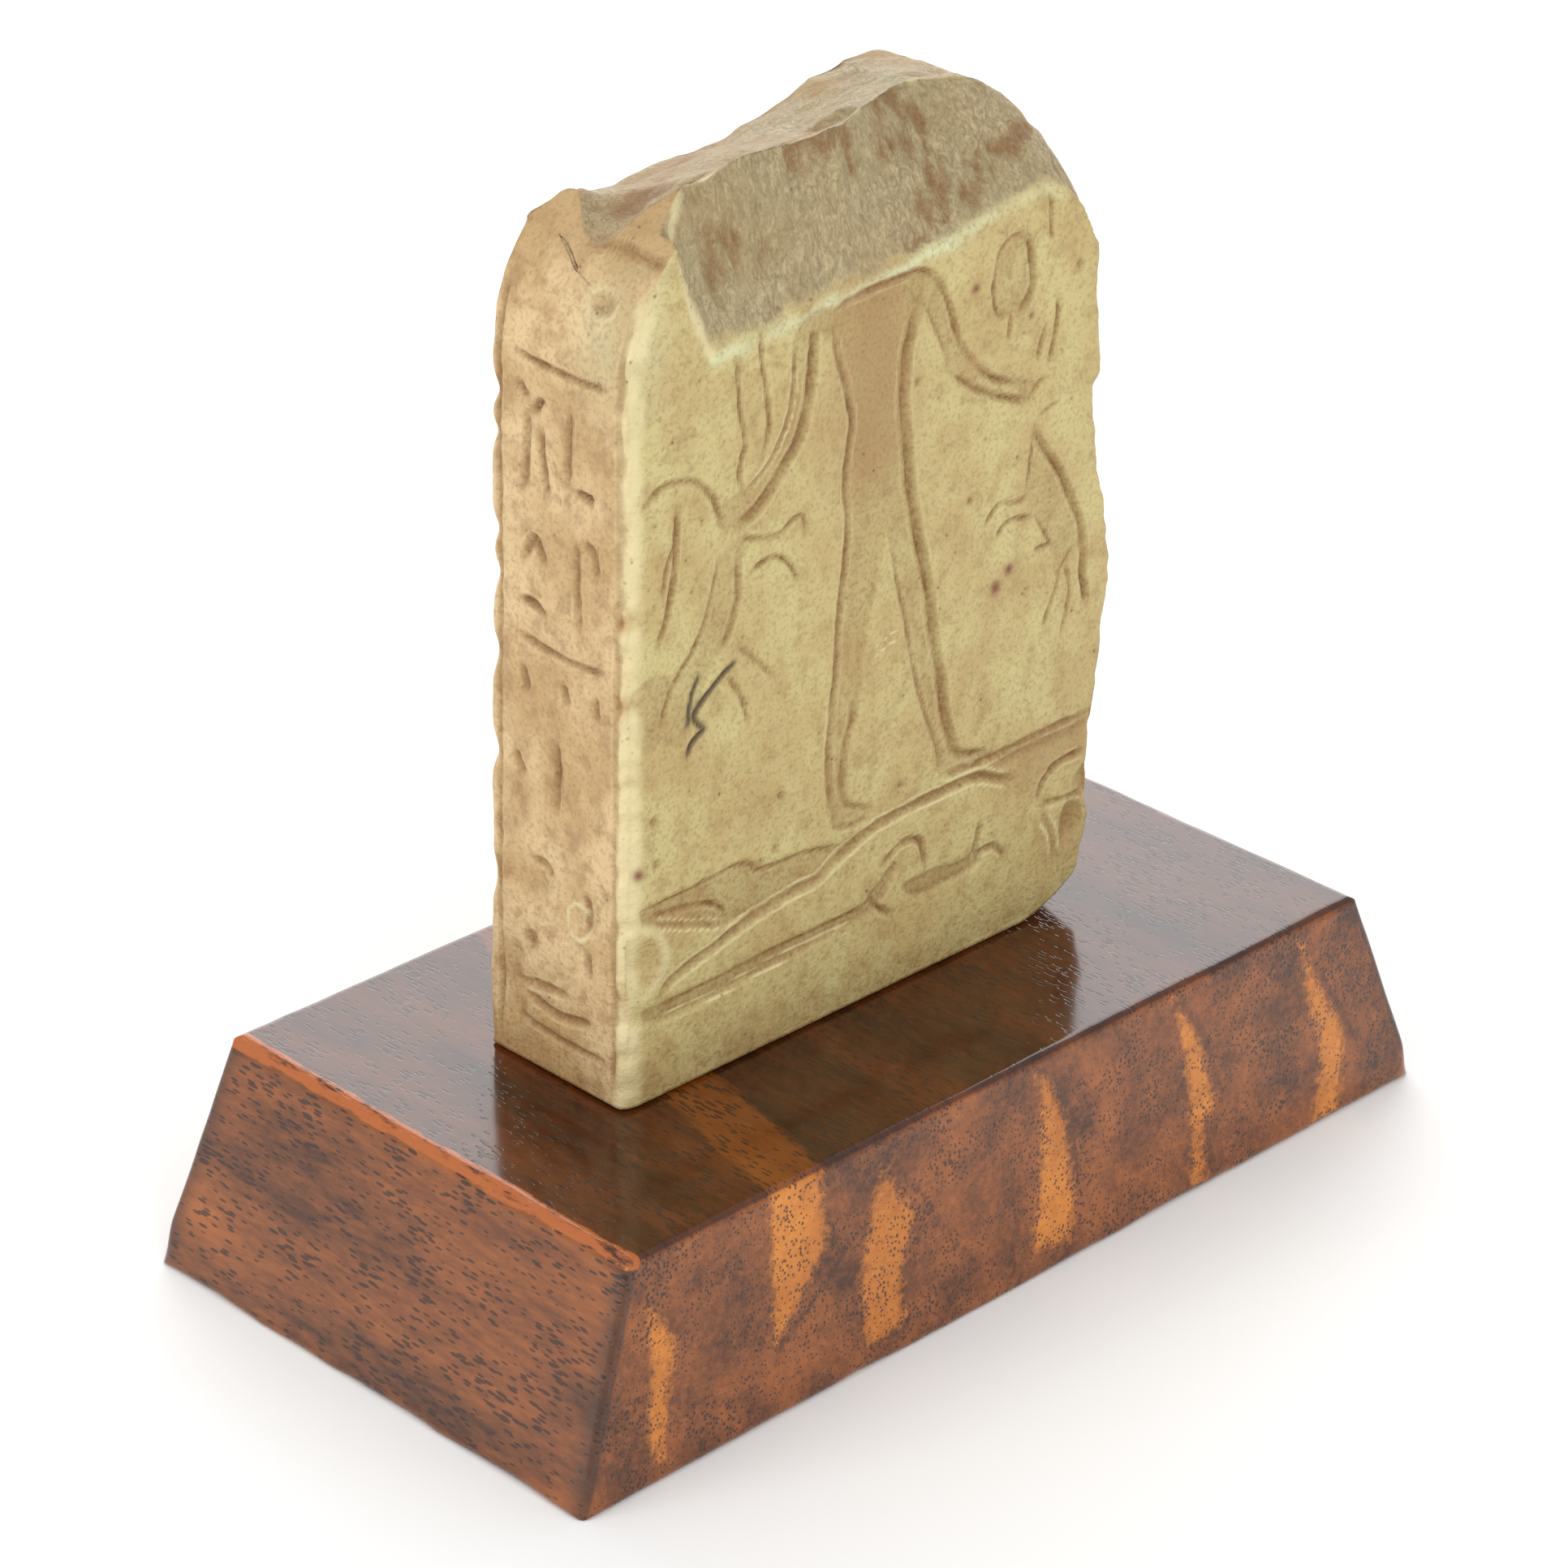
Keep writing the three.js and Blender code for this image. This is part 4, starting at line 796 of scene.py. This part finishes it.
# The pit, the crack and the rough lie of the broken top.
SEAM = [(-27, 8.4), (-25, 7.6), (-20.5, 6.2), (-14, 6.6), (-6, 6.6), (0, 6.9)]
top_here = on["top"].astype(float)
pit = np.hypot((u - 1.5) / 2.9, (w - 7.8) / 1.7)
v -= top_here * 0.9 * np.clip(1 - pit**2, 0, 1)
seam, _ = distance_to(np.stack([u, w], axis=1), SEAM)
v -= top_here * 0.45 * np.exp(-((seam / 0.45) ** 2)) * step(across, -0.98, -0.9)
# Dirt with painted shade along the crack and round the inside of the pit.
top_dirt_and_shade = np.maximum(0.9 * np.exp(-((seam / 0.5) ** 2)), 0.8 * np.exp(-18 * (pit - 0.9) ** 2))
dirt_and_shade = np.maximum(dirt_and_shade, top_here * top_dirt_and_shade)

# Where the skin of the stone is gone, with a crumbly line between the two.
stone_places = np.stack([u, w, v], axis=1)
crumble = 0.5 + 0.6 * drift(stone_places, 1.3, 30) + 0.4 * drift(stone_places, 3.5, 29)
broken = np.maximum(step(band_depth, 0.02 + 0.1 * crumble, 0.25 + 0.4 * crumble) * on["front"], top_here)
side_skin = np.maximum(on["left"] | on["right"], 0) * (1 - 0.9 * top_here)
side_skin = np.where(on["left"] & (v > 84), 1.0, side_skin)

# The roughness of each kind of surface goes out along the skin's normals.
probe = bpy.data.meshes.new("probe")
probe.from_pydata(stone_places.tolist(), [], stone_faces)
normals = np.zeros(len(u) * 3)
probe.vertex_normals.foreach_get("vector", normals)
normals = normals.reshape(-1, 3)
bpy.data.meshes.remove(probe)

# Height and width of the swells, seed, and how far they are drawn out along u, w and v.
EVEN = (1, 1, 1)
STREAK = (1, 1, 3.4)  # the fracture is fibrous, and its fibres run up the band
SWELLS = {
    "ground": [(0.1, 8, 31, EVEN), (0.06, 2.6, 32, EVEN), (0.035, 0.9, 33, EVEN)],
    "skin": [(0.09, 4.5, 34, EVEN), (0.07, 1.6, 35, EVEN), (0.035, 0.8, 36, EVEN)],
    "rough": [(0.34, 4.6, 37, (1.2, 1, 1.6)), (0.27, 1.7, 38, STREAK), (0.19, 0.75, 39, STREAK)],
    "crust": [(0.3, 3.6, 40, EVEN), (0.2, 1.5, 41, (3, 1, 1)), (0.12, 0.8, 42, (2.6, 1, 1))],
}
ground, skin, rough, crust = (
    sum(high * drift(stone_places, wide, seed, drawn) for high, wide, seed, drawn in swells)
    for swells in SWELLS.values()
)
broad = on["left"] | on["right"] | on["back"]
swell = np.where(broad, skin, ground)
swell = swell + (np.where(top_here > 0, crust, rough) - swell) * broken
swell = np.where(on["bottom"], 0, swell - 0.05)
stone_places = stone_places + normals * swell[:, None]
stone_places[:, 2] = np.clip(stone_places[:, 2], 0, stone_high[2] - stone_low[2])
stone_places[:, 1] = np.clip(stone_places[:, 1], 0.01, THICK - 0.01)

# Marks that steer the finish.
# On the break, dirt with painted shade in the low places of the rough surface.
dirt_and_shade = np.maximum(dirt_and_shade * (1 - 0.6 * broken), broken * step(-swell, 0.12, 0.42) * 0.8)
# Darker over the lowest 5.5 mm, towards the foot.
dirt_and_shade = np.maximum(dirt_and_shade, 0.5 * step(v, 5.5, 0.0) * (0.6 + 0.4 * drift(stone_places, 2, 51)))
arris_rub = np.where(on["front"], step(u - left_edge(v), 3.6, 1.0), 0)
arris_rub = np.where(on["left"], step(THICK / 2 - w, 6.9, 8.6) * 0.9, arris_rub) * (1 - broken)
arris_rub *= step(84 - v, 0, 6)
arris_rub *= np.clip(0.9 + 0.5 * drift(stone_places, 3.8, 52) + 0.35 * drift(stone_places, 1.3, 53), 0, 1)
worn = np.maximum(worn * (1 - broken), arris_rub)
band_edge, _ = distance_to(FACE_PLACES["front"], [(-20.5, 72.6), (-22.6, 77), (-23.9, 82), (-21, 86.6)])
worn = np.maximum(worn, on["front"] * 0.8 * np.exp(-((band_edge / 0.8) ** 2)))
ridge_here = on["top"] * step(through, 0.12, 0.0) + on["front"] * step(rise, 0.985, 1.0)
ridge_here = ridge_here * np.clip(0.3 + 0.5 * drift(stone_places, 2.2, 54), 0, 1)
worn = np.maximum(worn, ridge_here)
# A pale green line along the break edge, a painted highlight, and greener skin by the left shoulder.
lip = v - start + 0.5 * drift(stone_places, 1.8, 56)
# A pale line painted along the break edge: a painted highlight.
green_and_highlight = on["front"] * np.exp(-(((lip + 0.3) / 0.7) ** 2)) * step(u, -26, -18) * step(-u, -27, -22)
green_and_highlight *= 1.0 + 0.9 * drift(stone_places, 3, 55)
green_and_highlight = np.maximum(green_and_highlight, 0.6 * on["front"] * step(u, -24, -29) * step(v, 66, 74))
edge_patch = np.hypot(THICK / 2 - w - 5.5, (v - 75.5) * 0.6) / 3.4
green_and_highlight = np.maximum(green_and_highlight, 0.6 * on["left"] * np.exp(-(edge_patch**2)))
# Browner skin on the figure's body, along the ground line, on the shoulder and over the break.
body_tan = 0.75 * np.exp(-((u / 6) ** 2)) * step(v, 46, 58)
ground_tan = 0.7 * step(u, 17, 23) * np.exp(-(((v - 18) / 3) ** 2))
tan = on["front"] * (1 - broken) * np.maximum(body_tan, ground_tan)
tan = np.maximum(tan, 0.65 * on["left"] * step(v, 78, 83))
tan = np.maximum(tan, top_here * np.clip(0.45 + 0.6 * drift(stone_places, 4, 57), 0, 0.8))
tan = np.maximum(tan, 0.3 * on["front"] * broken * (0.6 + 0.5 * drift(stone_places, 5, 58)))
rust = np.zeros(len(u))
RUST_SPOTS = [((13.3, 69.8), 0.45), ((18.8, 39.6), 0.6), ((17, 38.2), 0.7), ((-29.6, 24), 0.6),
              ((21, 65), 0.35)]
for at, radius in RUST_SPOTS:
    found, spots = nearby("front", np.array([at]), 2)
    rust[found] = np.maximum(rust[found], np.exp(-((np.hypot(*(spots - at).T) / radius) ** 2)))

stone = into_object(
    "stele_slab",
    stone_places + stone_origin,
    stone_faces,
    {"dirt_and_shade": dirt_and_shade, "worn": worn, "broken": broken, "side": side_skin, "green_and_highlight": green_and_highlight, "tan": tan,
     "rust": rust, "soot": soot},
)

# Steatite, handled and buried: a soft waxy yellow-green stone whose cut grooves hold brown
# earth with painted shade over it, whose sides have a tan skin and whose breaks are grey-brown and fibrous.
steatite = bpy.data.materials.new("weathered_steatite")
steatite.use_nodes = True
tree = steatite.node_tree
tree.nodes.clear()
spot = add_node(tree, "ShaderNodeTexCoord").outputs["Object"]
marks = {
    name: add_node(tree, "ShaderNodeAttribute", attribute_name=name).outputs["Fac"]
    for name in ("dirt_and_shade", "worn", "broken", "side", "green_and_highlight", "tan", "rust", "soot")
}
# Clouds of 9 mm, mottles of 2 mm and grit of 0.5 mm.
cloud, mottle, grit = (
    add_node(
        tree,
        "ShaderNodeTexNoise",
        {"Vector": spot, "Scale": 1 / (size * MM), "Detail": detail, "Roughness": 0.6},
    ).outputs[0]
    for size, detail in ((9, 4.0), (2.2, 5.0), (0.45, 3.0))
)
# The fibres of the break are three times as tall as they are wide.
fibre_spot = add_node(tree, "ShaderNodeMapping", {"Vector": spot, "Scale": (1, 1, 0.34)}).outputs[0]
fibres = add_node(
    tree,
    "ShaderNodeTexNoise",
    {"Vector": fibre_spot, "Scale": 1 / (0.8 * MM), "Detail": 4.0, "Roughness": 0.65, "Distortion": 2.0},
).outputs[0]
dark_specks, ochre_specks = (
    add_node(tree, "ShaderNodeTexVoronoi", {"Vector": spot, "Scale": 1 / (size * MM)}).outputs["Distance"]
    for size in (1.5, 0.8)
)

# How strongly each pattern shows. Worn places are rubbed pale where the mottle is high.
worn_mottle = add_node(
    tree, "ShaderNodeMath", {0: mottle, 1: 0.9, 2: 0.35}, operation="MULTIPLY_ADD"
).outputs[0]
worn_share = add_node(
    tree, "ShaderNodeMath", {0: marks["worn"], 1: worn_mottle}, operation="MULTIPLY"
).outputs[0]
cloud_share, mottle_share, rub_share, fibre_share, grit_share, dirt_and_shade_grit, speck, ochre = (
    add_node(
        tree,
        "ShaderNodeMapRange",
        {"Value": value, "From Min": low, "From Max": high, "To Min": first, "To Max": last},
        interpolation_type=kind,
    ).outputs[0]
    for value, low, high, first, last, kind in (
        (cloud, 0.36, 0.64, 0.0, 1.0, "SMOOTHSTEP"),
        (mottle, 0.46, 0.68, 0.0, 1.0, "SMOOTHSTEP"),
        (worn_share, 0.15, 0.8, 0.0, 0.85, "SMOOTHSTEP"),
        (fibres, 0.36, 0.66, 0.0, 1.0, "LINEAR"),
        (grit, 0.48, 0.7, 0.0, 0.5, "LINEAR"),
        (grit, 0.3, 0.6, 0.65, 1.0, "LINEAR"),
        (dark_specks, 0.07, 0.16, 0.9, 0.0, "LINEAR"),
        (ochre_specks, 0.12, 0.3, 0.8, 0.0, "LINEAR"),
    )
)
worn_mottle_share = add_node(
    tree, "ShaderNodeMath", {0: marks["worn"], 1: mottle_share}, operation="MULTIPLY"
).outputs[0]
face_mottle, side_mottle, break_cloud, green_and_highlight_share, dirt_and_shade_share, speck_share, ochre_share, break_bump = (
    add_node(tree, "ShaderNodeMath", {0: one, 1: other}, operation="MULTIPLY").outputs[0]
    for one, other in (
        (mottle_share, 0.5),
        (mottle_share, 0.6),
        (cloud_share, 0.45),
        (marks["green_and_highlight"], mottle),
        (marks["dirt_and_shade"], dirt_and_shade_grit),
        (speck, mottle_share),
        (ochre, worn_mottle_share),
        (marks["broken"], 0.8),
    )
)

# The face, the sides and the break: two tones of each, and a third one mottled over them.
face, side, fracture = (
    add_node(
        tree,
        "ShaderNodeMix",
        {0: third_share,
         6: add_node(
             tree, "ShaderNodeMix", {0: share, 6: colour(first), 7: colour(second)}, data_type="RGBA"
         ).outputs[2],
         7: colour(third)},
        data_type="RGBA",
    ).outputs[2]
    for share, first, second, third_share, third in (
        (cloud_share, "#CDBE82", "#C2A970", face_mottle, "#A98C55"),
        (cloud_share, "#DABC8C", "#BF9C69", side_mottle, "#A07A50"),
        (fibre_share, "#8B7D5F", "#CDBC92", break_cloud, "#A0946A"),
    )
)
# What lies over the face, from the lowest layer to the highest.
surface = face
for share, tone in (
    (marks["side"], side),
    (marks["broken"], fracture),
    (marks["tan"], colour("#B08E5C")),
    # Pale green: greener skin patches, and a painted highlight along the break edge.
    (green_and_highlight_share, colour("#D9E0B4")),
    (grit_share, colour("#8F7545")),
    # Brown earth with painted shade in the grooves, cracks, pits and hollows.
    (dirt_and_shade_share, colour("#845A28")),
    (rub_share, colour("#E4D6A4")),
    (speck_share, colour("#7C5C32")),
    (ochre_share, colour("#A87A34")),
    (marks["rust"], colour("#7A3A22")),
    (marks["soot"], colour("#4A3C26")),
):
    surface = add_node(
        tree, "ShaderNodeMix", {0: share, 6: surface, 7: tone}, data_type="RGBA"
    ).outputs[2]
grain_bump = add_node(
    tree, "ShaderNodeBump", {"Strength": 0.9, "Distance": 0.16 * MM, "Height": grit}
).outputs[0]
lump_bump = add_node(
    tree, "ShaderNodeBump", {"Strength": 0.5, "Distance": 0.35 * MM, "Height": mottle, "Normal": grain_bump}
).outputs[0]
fibre_bump = add_node(
    tree,
    "ShaderNodeBump",
    {"Strength": break_bump, "Distance": 0.3 * MM, "Height": fibres, "Normal": lump_bump},
).outputs[0]
stone_shader = add_node(
    tree,
    "ShaderNodeBsdfPrincipled",
    {"Base Color": surface, "Roughness": 0.55, "IOR": 1.5, "Normal": fibre_bump},
)
add_node(tree, "ShaderNodeOutputMaterial", {"Surface": stone_shader.outputs[0]})
stone.data.materials.append(steatite)
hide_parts("stele")
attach(stone, "root")


# ---------------------------------------------------------------------------
# The floor, the lights and the camera.
# ---------------------------------------------------------------------------
FLOOR_HALF = 3.0
floor_mesh = bpy.data.meshes.new("floor")
floor_mesh.from_pydata(
    [(x * FLOOR_HALF, y * FLOOR_HALF, 0) for x, y in ((-1, -1), (1, -1), (1, 1), (-1, 1))],
    [],
    [(0, 1, 2, 3)],
)
floor = bpy.data.objects.new("floor", floor_mesh)
bpy.context.scene.collection.objects.link(floor)
paper = bpy.data.materials.new("pale_paper")
paper.use_nodes = True
paper.node_tree.nodes["Principled BSDF"].inputs["Base Color"].default_value = colour("#FBFBFA")
paper.node_tree.nodes["Principled BSDF"].inputs["Roughness"].default_value = 0.9
floor_mesh.materials.append(paper)

world = bpy.data.worlds.new("studio")
bpy.context.scene.world = world
world.use_nodes = True
world.node_tree.nodes["Background"].inputs["Color"].default_value = (1, 1, 1, 1)
world.node_tree.nodes["Background"].inputs["Strength"].default_value = 0.74

# Soft boxes: name, direction (azimuth, elevation), distance, side, radiance.
SOFT_BOXES = [
    ("front_box", -15, 36, 1.0, 0.7, 1.9),
    ("left_box", -105, 25, 1.1, 0.6, 2.9),
    ("back_box", 135, 27, 1.0, 0.9, 2.4),
]
aim = Vector((0, 0, 0.05))
for name, azimuth, elevation, distance, side, radiance in SOFT_BOXES:
    a, e = math.radians(azimuth), math.radians(elevation)
    out = Vector((math.sin(a) * math.cos(e), -math.cos(a) * math.cos(e), math.sin(e)))
    lamp = bpy.data.lights.new(name, "AREA")
    lamp.size = side
    lamp.energy = radiance * math.pi * side**2
    box = bpy.data.objects.new(name, lamp)
    box.location = aim + out * distance
    box.rotation_euler = out.to_track_quat("Z", "Y").to_euler()
    bpy.context.scene.collection.objects.link(box)

CAMERA_AT = Vector((-0.31646, -0.31493, 0.27111))
AZIMUTH, ELEVATION, ROLL = (math.radians(angle) for angle in (-44.79, 27.09, 0.70))
back = Vector(
    (math.sin(AZIMUTH) * math.cos(ELEVATION), -math.cos(AZIMUTH) * math.cos(ELEVATION), math.sin(ELEVATION))
)
level_right = Vector((math.cos(AZIMUTH), math.sin(AZIMUTH), 0))
level_up = back.cross(level_right)
right = level_right * math.cos(ROLL) + level_up * math.sin(ROLL)
camera_data = bpy.data.cameras.new("camera")
camera_data.sensor_width = 36
camera_data.lens = 119.43
camera = bpy.data.objects.new("camera", camera_data)
axes = Matrix((right, back.cross(right), back)).transposed().to_4x4()
camera.matrix_world = Matrix.Translation(CAMERA_AT) @ axes
bpy.context.scene.collection.objects.link(camera)
bpy.context.scene.camera = camera
bpy.context.scene.view_settings.view_transform = "Standard"

bpy.context.view_layer.update()
